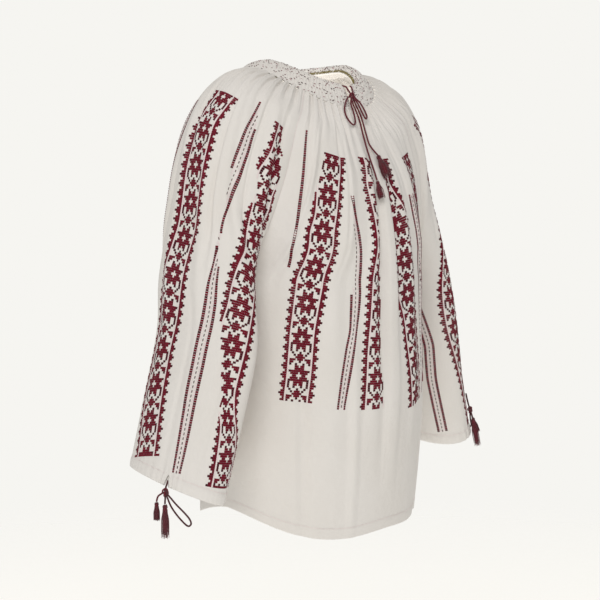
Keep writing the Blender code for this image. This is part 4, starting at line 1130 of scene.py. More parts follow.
def add_cordwork(name, parts, material, nodes):
    """Tubes of thread, each with its tone, joined into one piece in place of nodes."""
    points, faces, ply, shade, count = [], [], [], [], 0
    for shape, tone in parts:
        points.append(shape[0])
        faces += [[v + count for v in face] for face in shape[1]]
        ply.append(shape[2])
        shade.append(np.full(len(shape[0]), tone))
        count += len(shape[0])
    thing = add_mesh(name, np.concatenate(points), faces, [material],
                     {"ply_at": np.concatenate(ply)}, {"shade": np.concatenate(shade)})
    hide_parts(*nodes)
    return finish_piece(thing)


def add_knot(name, centre, radius, material):
    """A cord wound over and under itself into a small round knot."""
    angle = np.linspace(0, 2 * math.pi, KNOT_SAMPLES, endpoint=False)
    wide = 1 + KNOT_WAVE * np.cos(KNOT_LOOPS[1] * angle)
    path = np.stack([wide * np.cos(KNOT_LOOPS[0] * angle), KNOT_DEPTH * np.sin(
        KNOT_LOOPS[1] * angle), wide * np.sin(KNOT_LOOPS[0] * angle)], 1)
    path *= (np.array(KNOT_RADII) - radius) / (1 + KNOT_WAVE)
    path = np.concatenate([path, path[:2]]) + centre
    return add_cordwork(f"{name}_wound", [(twisted_tube(path, radius, TWIST_LENGTH), KNOT_TONE)],
                        material, [name])


def add_tassel(name, nodes, hanger, material, extra=()):
    """A tassel: wound head, tight collar and loose threads that spread to a ragged end."""
    way = unit(np.array(hanger.way, float))
    side = unit(np.cross(way, (0.2, 1.0, 0.1)))
    other = np.cross(way, side)
    top = np.array(hanger.top)

    def place(local):
        """Points from the tassel's own directions to the blouse's."""
        return top + local[:, :1] * side + local[:, 1:2] * other + local[:, 2:] * way

    head, skirt, length = hanger.head, hanger.skirt, hanger.length
    parts = []
    for winding in WINDINGS:
        t = np.linspace(0, 1, WIND_POINTS)
        turn = 2 * math.pi * winding.turns * t
        arch = np.sin(math.pi * (HEAD_ARCH[0] + HEAD_ARCH[1] * t))
        reach = head * (winding.neck + winding.bulge * arch) - WIND_RADIUS
        start = max(head * winding.start, TOP_GAP)
        path = np.stack([reach * np.cos(turn), reach * np.sin(turn),
                         start + (head * winding.end - start) * t], 1)
        parts.append((twisted_tube(place(path), WIND_RADIUS, WIND_TWIST, around=6),
                      winding.tone))
    angle = 2 * math.pi * np.arange(CORE_SIDES) / CORE_SIDES
    ripple = 1 + CORE_RIPPLE * np.cos(CORE_RIPPLES * angle)
    core = ((head * 0.3, 0.2), (head * 0.8, head * 0.8), (head * 0.72, head * 2.1),
            (skirt * 0.62, length * 0.45), (skirt * 0.7, length * 0.8),
            (skirt * 0.3, length * 0.83))
    flat = np.concatenate([np.stack([r * np.cos(angle) * ripple, r * np.sin(angle) * ripple,
                                     np.full(CORE_SIDES, z)], 1) for r, z in core])
    number = np.arange(len(flat)).reshape(len(core), CORE_SIDES)
    faces = tube_quads(number) + [number[0].tolist()[::-1], number[-1].tolist()]
    ply = np.stack([flat[:, 2], np.tile(angle, len(core)) * head, 0 * flat[:, 2]], -1)
    parts.append(((place(flat), faces, ply), CORE_TONE))
    base = head * COLLAR_DOWN
    for k in range(TASSEL_THREADS):
        pick = [float(uneven(k * 5 + n, hanger.length)) for n in range(6)]
        turn = 2 * math.pi * (k + 0.5 * pick[0]) / TASSEL_THREADS
        depth = 0.62 + 0.38 * math.sqrt(pick[1]) if k % 3 else 0.45 * pick[1] + 0.2
        drop = length * (1.0 - THREAD_RAGGED * pick[2]) - base
        t = np.linspace(0, 1, THREAD_POINTS)
        collar = head * COLLAR_WIDE * max(depth, 0.6) * (1 - ease(t * 2))
        belly = skirt * depth * ease(t * 2) * (1 - SKIRT_DRIFT * t)
        out = collar + belly + skirt * SKIRT_DRIFT * (pick[3] - 0.3) * t * t
        swing = (turn + (pick[4] - 0.5) * THREAD_SWING * t
                 + THREAD_WAVE * np.sin(5 * t + 6 * pick[5]))
        path = np.stack([out * np.cos(swing), out * np.sin(swing), base - 1 + (drop + 1) * t], 1)
        parts.append((twisted_tube(place(path), THREAD_RADIUS, THREAD_TWIST, lobes=2, around=4,
                                   taper=THREAD_TAPER), 0.25 + 0.5 * pick[2]))
    return add_cordwork(name, parts + list(extra), material, nodes)


def add_tie(name, route, diameter, material, nodes):
    """One free cord from the cloth through its knot and loop to its tassel."""
    path = smooth_route(route, PATH_SPACING)
    tube = twisted_tube(path, diameter / 2 * TUBE_FILL, TWIST_LENGTH)
    thing = add_cordwork(name, [(tube, CORD_TONE)], material, nodes)


def band_line(place, angle):
    """Line round the band: place 0 at the rim, 1 at the crest, 2 at the ring."""
    return spline(np.stack([on_oval(oval, angle) for oval in (RIM, CREST, RING)]), place)


def band_half_gap(place):
    """Half width of the V in the band at a place."""
    return SLIT_RING + (SLIT_CREST - SLIT_RING) * (1 - ease(place / 2))


def band_angles(place, shares):
    """Angles round the band at a place, from one side of the V to the other."""
    side = np.interp(place, (0, 1, 2), (RIM.side, CREST.side, RING.side))
    start = math.asin(band_half_gap(place) / side)
    return start + (2 * math.pi - 2 * start) * np.asarray(shares, float)


def band_normals(place, angle):
    """Unit normals of the visible face of the band."""
    if place >= 1.99:
        return ring_normal(angle)
    along = band_line(place, angle + ANGLE_STEP) - band_line(place, angle - ANGLE_STEP)
    down = band_line(min(place + STEP, 2), angle) - band_line(max(place - STEP, 0), angle)
    return unit(np.cross(along, down))


def smock_height(place, shares):
    """Honeycomb of pleats drawn together in turn by rows of stitches."""
    wander = SMOCK_WANDER * (np.sin(17 * shares + 3 * place) + np.sin(41 * shares - 5 * place))
    wave = BAND_PLEATS * shares + wander
    cells = math.cos(math.pi * SMOCK_ROWS * place)
    ridge = 0.5 + 0.5 * np.cos(2 * math.pi * wave)
    between = 0.5 - 0.5 * np.cos(2 * math.pi * wave)
    mix = 0.5 + 0.5 * cells
    height = (ridge * mix + between * (1 - mix)) ** SMOCK_SHARP
    grow = np.interp(place, SMOCK_PLACES, SMOCK_GROWTH)
    edge = ease(np.minimum(shares, 1 - shares) * BAND_PLEATS)
    return SMOCK_DEPTH * grow * (height - SMOCK_SINK) * edge


def band_point(place, shares, lift=0.0):
    """Points on the smocking, lifted off it, and the band's normals there."""
    angle = band_angles(place, shares)
    normals = band_normals(place, angle)
    height = smock_height(place, np.asarray(shares, float)) + lift
    return band_line(place, angle) + normals * np.asarray(height)[:, None], normals


def add_band(material):
    """The smocked band as one folded sheet, from the panels over the crest and in."""
    shares = np.linspace(0, 1, BAND_COLUMNS + 1)
    rows = []
    for place in np.linspace(2.0, 0.0, BAND_STEPS):
        rows.append(band_point(place, shares)[0])
    angle = band_angles(0, shares)
    normals = band_normals(0.0, angle)
    for turn in np.radians(RIM_TURNS):
        edge = band_line(0.0, angle)
        down = unit(band_line(0.0, angle) - band_line(STEP, angle))
        reach = BAND_THICK / 2
        rows.append(edge + normals * (reach * math.cos(turn) - reach)
                    + down * reach * math.sin(turn))
    for place in BAND_INSIDE:
        at = band_angles(place, shares)
        rows.append(band_line(place, at) - band_normals(place, at) * BAND_THICK)
    points = np.array(rows)
    count, columns = points.shape[:2]
    number = np.arange(count * columns).reshape(count, columns)
    faces = grid_quads(number).reshape(-1, 4).tolist()
    half = BAND_STEPS + 1
    for column in (0, -1):
        line = number[:, column]
        for k in range(half - 1):
            mirror, other = (int(np.clip(len(line) - 1 - int(at * (len(line) - half) / (half - 1)),
                                         half, len(line) - 1)) for at in (k, k + 1))
            faces.append([int(line[k]), int(line[k + 1]), int(line[mirror])])
            if other != mirror:
                faces.append([int(line[k + 1]), int(line[other]), int(line[mirror])])
    run = np.linspace(0, BAND_WEAVE[1], count)
    place = np.stack(np.broadcast_arrays(shares[None] * BAND_WEAVE[0], run[:, None], 0.0), -1)
    thing = add_mesh("neck_band_smocking", points.reshape(-1, 3), faces, [material],
                     {"cloth_at": place.reshape(-1, 3)})
    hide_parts("neck_band")
    return finish_piece(thing)


def add_smocking_stitches(materials):
    """Coloured stitches over the pleats, and the rim's slanting border stitches."""
    heap = Heap()
    for number, place in enumerate(SMOCK_STITCHES):
        spots = np.arange(0.5 + 0.5 * (number % 2), BAND_PLEATS - 0.4)
        pick = uneven(spots * 3, number + 5)
        near = np.exp(-(np.minimum(spots, BAND_PLEATS - spots) / SLIT_DENSE) ** 2)
        spots = spots[pick < SMOCK_KEEP + 0.2 * near]
        shares = (spots + 0.5 * (uneven(spots, number + 13) - 0.5)) / BAND_PLEATS
        reach = (DOT_REACH + DOT_REACH * uneven(spots, number)) / BAND_PLEATS
        shift = DOT_SHIFT * (uneven(spots, number + 9) - 0.5)
        tilt = DOT_TILT * (uneven(spots, number + 21) - 0.5)
        start, end = (np.array([band_point(float(np.clip(place + s + turn * t, *DOT_PLACES)),
                                           [a], DOT_LIFT)[0][0]
                                for a, s, t in zip(shares + turn * reach, shift, tilt)])
                      for turn in (-1, 1))
        normals = band_normals(place, band_angles(place, shares))
        kinds = np.array([SMOCK_COLOURS[int(v * 97) % len(SMOCK_COLOURS)]
                          for v in uneven(spots, number + 17)])
        add_strands(heap, start, end, normals, DOT_WIDTH, DOT_RAISE, kinds,
                    uneven(spots, number + 2))
    count = RIM_STITCHES
    shares = (np.arange(count) + 0.5) / count
    slant = RIM_SLANT / count
    for lean, size in RIM_LAYERS:
        pick = uneven(np.arange(count), 8 + lean)
        start = band_point(0.0, shares - slant * (lean + pick), RIM_LIFTS[0])[0]
        end = band_point(RIM_DOWN, shares + slant * (lean - pick), RIM_LIFTS[1])[0]
        normals = band_normals(0.1, band_angles(0.1, shares))
        keep = pick > RIM_SKIP
        width = RIM_WIDTH * size * (
            0.7 + pick + RIM_THICK * ease((shares - RIM_THICK_SHARE) / 0.1))
        add_strands(heap, start[keep], end[keep], normals[keep], width[keep, None], RIM_RAISE,
                    3, pick[keep])
    thing = heap.build("neck_band_stitches", materials)
    return finish_piece(thing)


def add_seams(name, materials, runs):
    """Rows of slanting seam stitches along given lines."""
    heap = Heap()
    for points, normals, width in runs:
        length = run_of(points)
        at = np.arange(0.5, length[-1] - SEAM_PITCH, SEAM_PITCH)
        middle = np.stack([np.interp(at, length, points[:, k]) for k in range(3)], 1)
        normal = unit(np.stack([np.interp(at, length, normals[:, k]) for k in range(3)], 1))
        along = unit(np.gradient(middle, axis=0))
        side = np.cross(normal, along)
        number = np.arange(len(at))
        turn = np.where(number % 2 == 0, 1.0, -1.0)[:, None]
        start = middle - side * width * turn + normal * SEAM_LIFT
        end = middle + side * width * turn + along * SEAM_PITCH + normal * SEAM_LIFT
        add_strands(heap, start, end, normal, SEAM_WIDTH, SEAM_RAISE, 0, uneven(number, 3))
    return finish_piece(heap.build(name, materials))


# Node groups and materials

def new_group(name, inputs, outputs):
    """An empty shader node group with named sockets."""
    group = bpy.data.node_groups.new(name, "ShaderNodeTree")
    for way, sockets in (("INPUT", inputs), ("OUTPUT", outputs)):
        for label, kind, value in sockets:
            socket = group.interface.new_socket(name=label, in_out=way,
                                                socket_type=f"NodeSocket{kind}")
            if value is not None:
                socket.default_value = value
    return group, Nodes(group)


class Nodes:
    """Short ways to add and link nodes in one tree."""

    def __init__(self, tree):
        self.tree = tree

    def add(self, kind, **settings):
        """A node of a kind, with its settings."""
        node = self.tree.nodes.new(kind if kind.startswith("Node") else f"ShaderNode{kind}")
        for key, value in settings.items():
            setattr(node, key, value)
        return node

    def link(self, source, target):
        """Join an output to an input."""
        self.tree.links.new(source, target)

    def feed(self, socket, value):
        """Link a socket's value, or set it where it is a number or a colour."""
        if isinstance(value, bpy.types.NodeSocket):
            self.link(value, socket)
        else:
            socket.default_value = value

    def math(self, operation, first, second=0.0):
        """The result of a sum on one or two values."""
        node = self.add("Math", operation=operation)
        self.feed(node.inputs[0], first)
        self.feed(node.inputs[1], second)
        return node.outputs[0]

    def blend(self, factor, first, second):
        """Two colours mixed."""
        node = self.add("Mix", data_type="RGBA")
        self.feed(node.inputs[0], factor)
        self.feed(node.inputs[6], first)
        self.feed(node.inputs[7], second)
        return node.outputs[2]

    def remap(self, value, low, high, to_low, to_high):
        """A value taken from one range to another."""
        node = self.add("MapRange")
        for socket, number in zip(node.inputs, (value, low, high, to_low, to_high)):
            self.feed(socket, number)
        return node.outputs[0]

    def noise(self, vector, scale, detail=2.0, rough=0.5):
        """Soft noise round a half."""
        node = self.add("TexNoise")
        self.feed(node.inputs["Vector"], vector)
        node.inputs["Scale"].default_value = scale
        node.inputs["Detail"].default_value = detail
        node.inputs["Roughness"].default_value = rough
        return node.outputs["Fac"]


def weave_group():
    """Plain weave with uneven threads: height, thread tone and slubs."""
    group, n = new_group("Plain Weave", (("At", "Vector", None), ("Pitch", "Float", 0.5)),
                         (("Height", "Float", None), ("Tone", "Float", None)))
    given = n.add("NodeGroupInput").outputs
    split = n.add("SeparateXYZ")
    n.link(given["At"], split.inputs[0])
    waves = []
    for axis, other in ((0, 1), (1, 0)):
        turn = n.math("DIVIDE", split.outputs[axis], given["Pitch"])
        wave = n.math("SINE", n.math("MULTIPLY", turn, 2 * math.pi))
        stretch = n.add("CombineXYZ")
        n.link(turn, stretch.inputs[axis])
        n.link(n.math("MULTIPLY", split.outputs[other], 0.06), stretch.inputs[other])
        slub = n.noise(stretch.outputs[0], 1.0, 2.0)
        waves.append((wave, slub))
    over = n.math("MULTIPLY", waves[0][0], waves[1][0])
    threads = n.math("ADD", n.math("MULTIPLY", over, 0.3), n.math(
        "ADD", n.math("ABSOLUTE", waves[0][0]), n.math("ABSOLUTE", waves[1][0])))
    slubs = n.math("ADD", waves[0][1], waves[1][1])
    height = n.math("ADD", n.math("MULTIPLY", threads, 0.35), n.math("MULTIPLY", slubs, 0.8))
    out = n.add("NodeGroupOutput")
    n.link(height, out.inputs["Height"])
    n.link(n.remap(slubs, 0.6, 1.4, 0.0, 1.0), out.inputs["Tone"])
    return group


def ply_group():
    """Twisted plies of a thread: height and tone along its marks; the height also drives the
    painted shade in the grooves between the plies.
    """
    group, n = new_group("Thread Ply", (("At", "Vector", None), ("Pitch", "Float", 1.0)),
                         (("Height", "Float", None), ("Tone", "Float", None)))
    given = n.add("NodeGroupInput").outputs
    split = n.add("SeparateXYZ")
    n.link(given["At"], split.inputs[0])
    turn = n.math("DIVIDE", n.math("ADD", split.outputs[0], split.outputs[1]), given["Pitch"])
    height = n.math("ABSOLUTE", n.math("SINE", n.math("MULTIPLY", turn, math.pi)))
    out = n.add("NodeGroupOutput")
    n.link(height, out.inputs["Height"])
    n.link(n.noise(given["At"], 1.7, 3.0), out.inputs["Tone"])
    return group


def place_group(nodes, name, maker, at, pitch):
    """A shared node group in a material's tree, made the first time it is asked for."""
    group = bpy.data.node_groups.get(name) or maker()
    node = nodes.add("Group")
    node.node_tree = group
    nodes.link(at, node.inputs["At"])
    node.inputs["Pitch"].default_value = pitch
    return node.outputs


def new_material(name, roughness, sheen=0.0):
    """A material with an empty tree round its Principled shader."""
    material = bpy.data.materials.new(name)
    material.use_nodes = True
    nodes = Nodes(material.node_tree)
    shader = material.node_tree.nodes["Principled BSDF"]
    shader.inputs["Roughness"].default_value = roughness
    shader.inputs["Specular IOR Level"].default_value = SPECULAR
    shader.inputs["Sheen Weight"].default_value = sheen
    shader.inputs["Sheen Roughness"].default_value = SHEEN_ROUGH
    return material, nodes, shader


def attribute(nodes, name):
    """A point attribute of the mesh."""
    node = nodes.add("Attribute")
    node.attribute_name = name
    return node.outputs


def bumped(nodes, shader, height):
    """Feed a height in metres to the shader's normal through a bump."""
    bump = nodes.add("Bump")
    bump.inputs["Strength"].default_value = 1.0
    bump.inputs["Distance"].default_value = 1.0
    nodes.link(height, bump.inputs["Height"])
    nodes.link(bump.outputs[0], shader.inputs["Normal"])


def cloth_material(name, colour, warm, pitch):
    """Cream plain weave, a little uneven in tone, with faint crumples."""
    material, n, shader = new_material(name, 0.9, sheen=0.12)
    at = attribute(n, "cloth_at")["Vector"]
    weave = place_group(n, "Plain Weave", weave_group, at, pitch)
    spot = n.add("TexCoord").outputs["Object"]
    patch = n.noise(spot, 9.0, 3.0)
    crumple = n.noise(spot, 75.0, 2.0, 0.45)
    tone = n.blend(n.remap(patch, 0.3, 0.7, 0.0, 1.0), (*colour, 1), (*warm, 1))
    darker = n.blend(n.math("MULTIPLY", weave["Tone"], SLUB_TONE), tone, SLUB_COLOUR)
    n.link(darker, shader.inputs["Base Color"])
    height = n.math("ADD", n.math("MULTIPLY", weave["Height"], WEAVE_BUMP),
                    n.math("MULTIPLY", crumple, CRUMPLE_BUMP))
    bumped(n, shader, height)
    n.link(n.remap(weave["Tone"], 0, 1, 0.84, 0.97), shader.inputs["Roughness"])
    return material


def thread_material(thread, colour):
    """Twisted thread with a soft sheen, tones that change from stitch to stitch, and painted shade
    darkening the grooves between its plies.
    """
    material, n, shader = new_material(thread.name, thread.roughness, thread.sheen)
    at = attribute(n, "ply_at")["Vector"]
    shade = attribute(n, "shade")["Fac"]
    ply = place_group(n, "Thread Ply", ply_group, at, thread.pitch)
    deep = (*(thread.deep * v for v in colour), 1)
    tone = n.blend(shade, (*colour, 1), deep)
    # Painted shade: where the ply's height is low, in the grooves between the plies, the colour is
    # mixed toward a darker one
    shaded_grooves = n.blend(n.remap(ply["Height"], 0.0, 0.6, thread.groove, 0.0), tone,
                      (*(PAINTED_GROOVE_SHADE * v for v in colour), 1))
    n.link(n.blend(n.math("MULTIPLY", ply["Tone"], 0.3), shaded_grooves, deep),
           shader.inputs["Base Color"])
    bumped(n, shader, n.math("MULTIPLY", ply["Height"], PLY_BUMP))
    n.link(n.remap(ply["Tone"], 0.3, 0.7, thread.roughness - THREAD_UNEVEN,
                   thread.roughness + THREAD_UNEVEN), shader.inputs["Roughness"])
    return material


# Threads: which colour setting, its darker tone, length of a twist in millimetres,
# roughness, sheen and how much painted shade darkens the grooves between the plies
Thread = namedtuple("Thread", "name colour deep pitch roughness sheen groove",
                    defaults=(0.0, 0.4))
THREADS = {
    "red": Thread("burgundy cotton thread", "thread_red", 0.55, 0.9, 0.72),
    "dark": Thread("dark plum thread", "thread_dark", 0.5, 0.9, 0.72),
    "white": Thread("ivory cotton thread", "thread_ivory", 0.92, 0.9, 0.7, groove=0.12),
    "rose": Thread("rose cotton thread", "thread_rose", 0.7, 0.9, 0.7),
    "gold": Thread("olive gold thread", "thread_gold", 0.5, 0.8, 0.5),
    "cord": Thread("dark red twisted cord", "cord_red", 0.55, 1.1, 0.5, 0.25),
    "brown": Thread("dark brown twisted cord", "cord_brown", 0.55, 1.1, 0.5, 0.2),
    "tassel": Thread("dark red tassel thread", "cord_red", 0.45, 0.8, 0.48, 0.3),
}


def materials():
    """All finishes, made once."""
    look = bpy.context.scene.blouse
    if not FINISHES:
        cream, warm, pitch = tuple(look.cloth_colour), tuple(look.cloth_warm), look.weave_pitch
        band = tuple(v * BAND_TONE for v in cream)
        FINISHES["cloth"] = cloth_material("cream plain weave", cream, warm, pitch / MM)
        FINISHES["band"] = cloth_material("cream smocked weave", band, warm, pitch / MM)
        for key, thread in THREADS.items():
            FINISHES[key] = thread_material(thread, tuple(getattr(look, thread.colour)))
    return FINISHES


FINISHES = {}


# Sizes and colours that a user would change

def colour_setting(label, words, default):
    """A colour property."""
    return bpy.props.FloatVectorProperty(name=label, description=words, subtype="COLOR",
                                         size=3, min=0, max=1, default=default)


class BlouseLook(bpy.types.PropertyGroup):
    """Sizes and colours of the blouse."""

    weave_pitch: bpy.props.FloatProperty(
        name="Weave pitch", description="Width of one thread and its gap in the cloth",
        default=0.0005, min=0.0002, max=0.002, precision=4, unit="LENGTH")
    cord_diameter: bpy.props.FloatProperty(
        name="Cord diameter", description="Thickness of the twisted ties",
        default=0.0022, min=0.001, max=0.004, precision=4, unit="LENGTH")
    cloth_colour: colour_setting("Cloth", "Colour of the cream cloth", (0.80, 0.772, 0.742))
    cloth_warm: colour_setting("Cloth shade", "Warmer patches of the cloth", (0.77, 0.738, 0.70))
    thread_red: colour_setting("Burgundy thread", "Main colour of the cross-stitch",
                               (0.215, 0.006, 0.024))
    thread_dark: colour_setting("Dark thread", "Second colour of the cross-stitch",
                                (0.098, 0.006, 0.016))
    thread_ivory: colour_setting("Ivory thread", "White lines, bars and seams",
                                 (0.90, 0.79, 0.78))
    thread_rose: colour_setting("Rose thread", "Palest stitches of the neck band",
                                (0.55, 0.33, 0.35))
    thread_gold: colour_setting("Gold thread", "Border stitches of the rim",
                                (0.36, 0.29, 0.11))
    cord_red: colour_setting("Cord", "Colour of the ties and tassels", (0.17, 0.006, 0.020))
    cord_brown: colour_setting("Cuff cord", "Colour of the cuff's loop", (0.10, 0.02, 0.025))


class StageLook(bpy.types.PropertyGroup):
    """Camera, light and floor."""

    backdrop: colour_setting("Backdrop", "Colour of the plain background",
                             (0.922, 0.913, 0.879))
    floor_height: bpy.props.FloatProperty(
        name="Floor height", description="Height of the floor under the worn blouse",
        default=-1.45, min=-3, max=-0.6, unit="LENGTH")
    key_power: bpy.props.FloatProperty(
        name="Key light", description="Power of the large light at the upper left, in watts",
        default=34.0, min=0, max=500)
    neck_power: bpy.props.FloatProperty(
        name="Neck light", description="Power of the small light inside the neck, in watts",
        default=0.20, min=0, max=5)
    fill_level: bpy.props.FloatProperty(
        name="Fill", description="Brightness of the light from all round",
        default=0.50, min=0, max=3)


def area_light(name, place, target, size, power, colour):
    """A soft square light aimed at a point."""
    data = bpy.data.lights.new(name, "AREA")
    data.shape = "SQUARE"
    data.size = size
    data.energy = power
    data.color = colour
    thing = bpy.data.objects.new(name, data)
    thing.location = place
    thing.rotation_euler = (Vector(target) - Vector(place)).to_track_quat("-Z", "Y").to_euler()
    bpy.context.scene.collection.objects.link(thing)
    return thing


class BLOUSE_OT_stage(bpy.types.Operator):
    """Set the camera, the soft studio light, the backdrop and the floor"""

    bl_idname = "blouse.stage"
    bl_label = "Stage"

    def execute(self, context):
        look = context.scene.blouse_stage
        turn = math.radians(CAMERA_AZIMUTH)
        place = Vector((math.sin(turn) * CAMERA_AWAY, -math.cos(turn) * CAMERA_AWAY,
                        CAMERA_HEIGHT))
        aim = Vector(CAMERA_AIM)
        data = bpy.data.cameras.new("camera")
        data.sensor_width = SENSOR
        data.lens = CAMERA_FOCUS / IMAGE * SENSOR
        data.clip_end = 100
        camera = bpy.data.objects.new("camera", data)
        camera.location = place
        quat = (aim - place).to_track_quat("-Z", "Y")
        camera.rotation_euler = quat.to_euler()
        context.scene.collection.objects.link(camera)
        context.scene.camera = camera
        seen = quat.to_matrix().transposed() @ (Vector((0, 0, 0)) - place)
        middle_x = ORIGIN_PIXEL[0] - CAMERA_FOCUS * seen.x / -seen.z
        middle_y = ORIGIN_PIXEL[1] + CAMERA_FOCUS * seen.y / -seen.z
        data.shift_x = (IMAGE / 2 - middle_x) / IMAGE
        data.shift_y = (middle_y - IMAGE / 2) / IMAGE
        world = bpy.data.worlds.new("studio")
        world.use_nodes = True
        n = Nodes(world.node_tree)
        world.node_tree.nodes.clear()
        path = n.add("LightPath").outputs["Is Camera Ray"]
        seen_colour = n.add("Background")
        seen_colour.inputs[0].default_value = (*look.backdrop, 1)
        light = n.add("Background")
        light.inputs[0].default_value = (*DAYLIGHT, 1)
        light.inputs[1].default_value = look.fill_level
        mix = n.add("MixShader")
        out = n.add("OutputWorld")
        n.link(path, mix.inputs[0])
        n.link(light.outputs[0], mix.inputs[1])
        n.link(seen_colour.outputs[0], mix.inputs[2])
        n.link(mix.outputs[0], out.inputs[0])
        context.scene.world = world
        context.scene.view_settings.view_transform = "Standard"
        area_light("key light", (-2.0, -1.4, 1.5), (0, 0, -0.3), 1.3, look.key_power,
                   DAYLIGHT)
        inside = area_light("light in the neck", (-0.02, -0.02, -0.11), (0.045, 0.06, -0.03),
                            0.08, look.neck_power, LAMPLIGHT)
        inside.visible_camera = False
        self.floor(look)
        return {"FINISHED"}

    @staticmethod
    def floor(look):
        """A wide pale disc that fades into the backdrop."""
        around = FLOOR_AROUND
        points = [(0, 0, look.floor_height / MM)]
        for k in range(1, FLOOR_RINGS + 1):
            reach = FLOOR_REACH / MM * k / FLOOR_RINGS
            points += [(reach * math.cos(2 * math.pi * j / around),
                        reach * math.sin(2 * math.pi * j / around), look.floor_height / MM)
                       for j in range(around)]
        faces = [[0, 1 + j, 1 + (j + 1) % around] for j in range(around)]
        for k in range(FLOOR_RINGS - 1):
            first, second = 1 + k * around, 1 + (k + 1) * around
            faces += [[first + j, second + j, second + (j + 1) % around,
                       first + (j + 1) % around] for j in range(around)]
        material, n, shader = new_material("pale floor", 0.95)
        spot = n.add("TexCoord").outputs["Object"]
        length = n.add("VectorMath", operation="LENGTH")
        n.link(spot, length.inputs[0])
        far = n.remap(length.outputs["Value"], *FLOOR_FADE, 0.0, 1.0)
        grain = n.noise(spot, 30.0, 3.0)
        n.link(n.blend(n.math("MULTIPLY", grain, FLOOR_GRAIN), (*look.backdrop, 1),
                       (0.8, 0.79, 0.76, 1)), shader.inputs["Base Color"])
        n.link(n.math("SUBTRACT", 1.0, far), shader.inputs["Alpha"])
        shader.inputs["Emission Color"].default_value = (*look.backdrop, 1)
        shader.inputs["Emission Strength"].default_value = FLOOR_GLOW
        floor = add_mesh("floor", points, faces, [material])


def dress_panel(name, piece):
    """One panel's cloth and its cross-stitch."""
    finish = materials()
    sheet = cloth(name)
    thing = sheet.mesh(piece, finish["cloth"])
    heap = Heap()
    for number, column in enumerate(SEWN[name]):
        add_column(heap, sheet, column, number + 3 * sheet.plan.seed)
    stitches = heap.build(f"{piece}_stitches",
                          [finish["red"], finish["dark"], finish["white"]])
    finish_piece(stitches)


class BLOUSE_OT_neck_tie(bpy.types.Operator):
    """Twist the neck's cords, their knot and the two tassels"""

    bl_idname = "blouse.neck_tie"
    bl_label = "Neck tie"

    def execute(self, context):
        finish = materials()
        diameter = context.scene.blouse.cord_diameter / MM
        low = add_tassel("neck_tassel_low_threads", ["neck_tassel_low"], TASSELS["neck_low"],
                         finish["tassel"])
        high = add_tassel("neck_tassel_high_threads", ["neck_tassel_high"],
                          TASSELS["neck_high"], finish["tassel"])
        knot = add_knot("neck_knot", KNOTS["neck"], diameter / 2 * KNOT_CORD, finish["cord"])
        add_tie("neck_tie_right", NECK_RIGHT, diameter, finish["cord"],
                ["neck_string_right", "neck_big_loop", "neck_tail_low"])
        add_tie("neck_tie_left", NECK_LEFT, diameter, finish["cord"],
                ["neck_string_left", "neck_narrow_loop", "neck_tail_high"])
        return {"FINISHED"}


class BLOUSE_OT_cuff_ties(bpy.types.Operator):
    """Twist the cuffs' cords, their knots and tassels"""

    bl_idname = "blouse.cuff_ties"
    bl_label = "Cuff ties"

    def execute(self, context):
        finish = materials()
        diameter = context.scene.blouse.cord_diameter / MM
        for side, route in (("right", CUFF_RIGHT), ("left", CUFF_LEFT)):
            tassel = add_tassel(f"cuff_tassel_long_{side}_threads",
                                [f"cuff_tassel_long_{side}"], TASSELS[f"long_{side}"],
                                finish["tassel"])
            tail = twisted_tube(smooth_route(SIDE_TAILS[side], PATH_SPACING),
                                diameter / 2 * TUBE_FILL, TWIST_LENGTH)
            short = add_tassel(f"cuff_tassel_short_{side}_threads",
                               [f"cuff_tassel_short_{side}", f"cuff_tail_short_{side}"],
                               TASSELS[f"short_{side}"], finish["tassel"], [(tail, CORD_TONE)])
            knot = add_knot(f"cuff_knot_{side}", KNOTS[side], diameter / 2 * KNOT_CORD,
                            finish["cord"])
            add_tie(f"cuff_tie_{side}", route, diameter, finish["brown"],
                    [f"cuff_string_{side}", f"cuff_loop_{side}", f"cuff_tail_long_{side}"])
        return {"FINISHED"}


class BLOUSE_OT_neck_band(bpy.types.Operator):
    """Smock the neck band and sew its coloured stitches and rim border"""

    bl_idname = "blouse.neck_band"
    bl_label = "Smocked neck band"

    def execute(self, context):
        finish = materials()
        band = add_band(finish["band"])
        stitches = add_smocking_stitches([finish["red"], finish["dark"], finish["rose"],
                                          finish["gold"]])
        return {"FINISHED"}


class BLOUSE_OT_front(bpy.types.Operator):
    """Gather the front panel and cross-stitch its columns"""

    bl_idname = "blouse.front"
    bl_label = "Front"

    def execute(self, context):
        dress_panel("front", "front_cloth")
        return {"FINISHED"}


class BLOUSE_OT_back(bpy.types.Operator):
    """Gather the back panel and cross-stitch its columns"""

    bl_idname = "blouse.back"
    bl_label = "Back"

    def execute(self, context):
        dress_panel("back", "back_cloth")
        return {"FINISHED"}


class BLOUSE_OT_sleeves(bpy.types.Operator):
    """Gather both sleeves, roll their hems and cross-stitch their columns"""

    bl_idname = "blouse.sleeves"
    bl_label = "Sleeves"

    def execute(self, context):
        for side in ("right", "left"):
            dress_panel(side, f"sleeve_cloth_{side}")
        return {"FINISHED"}


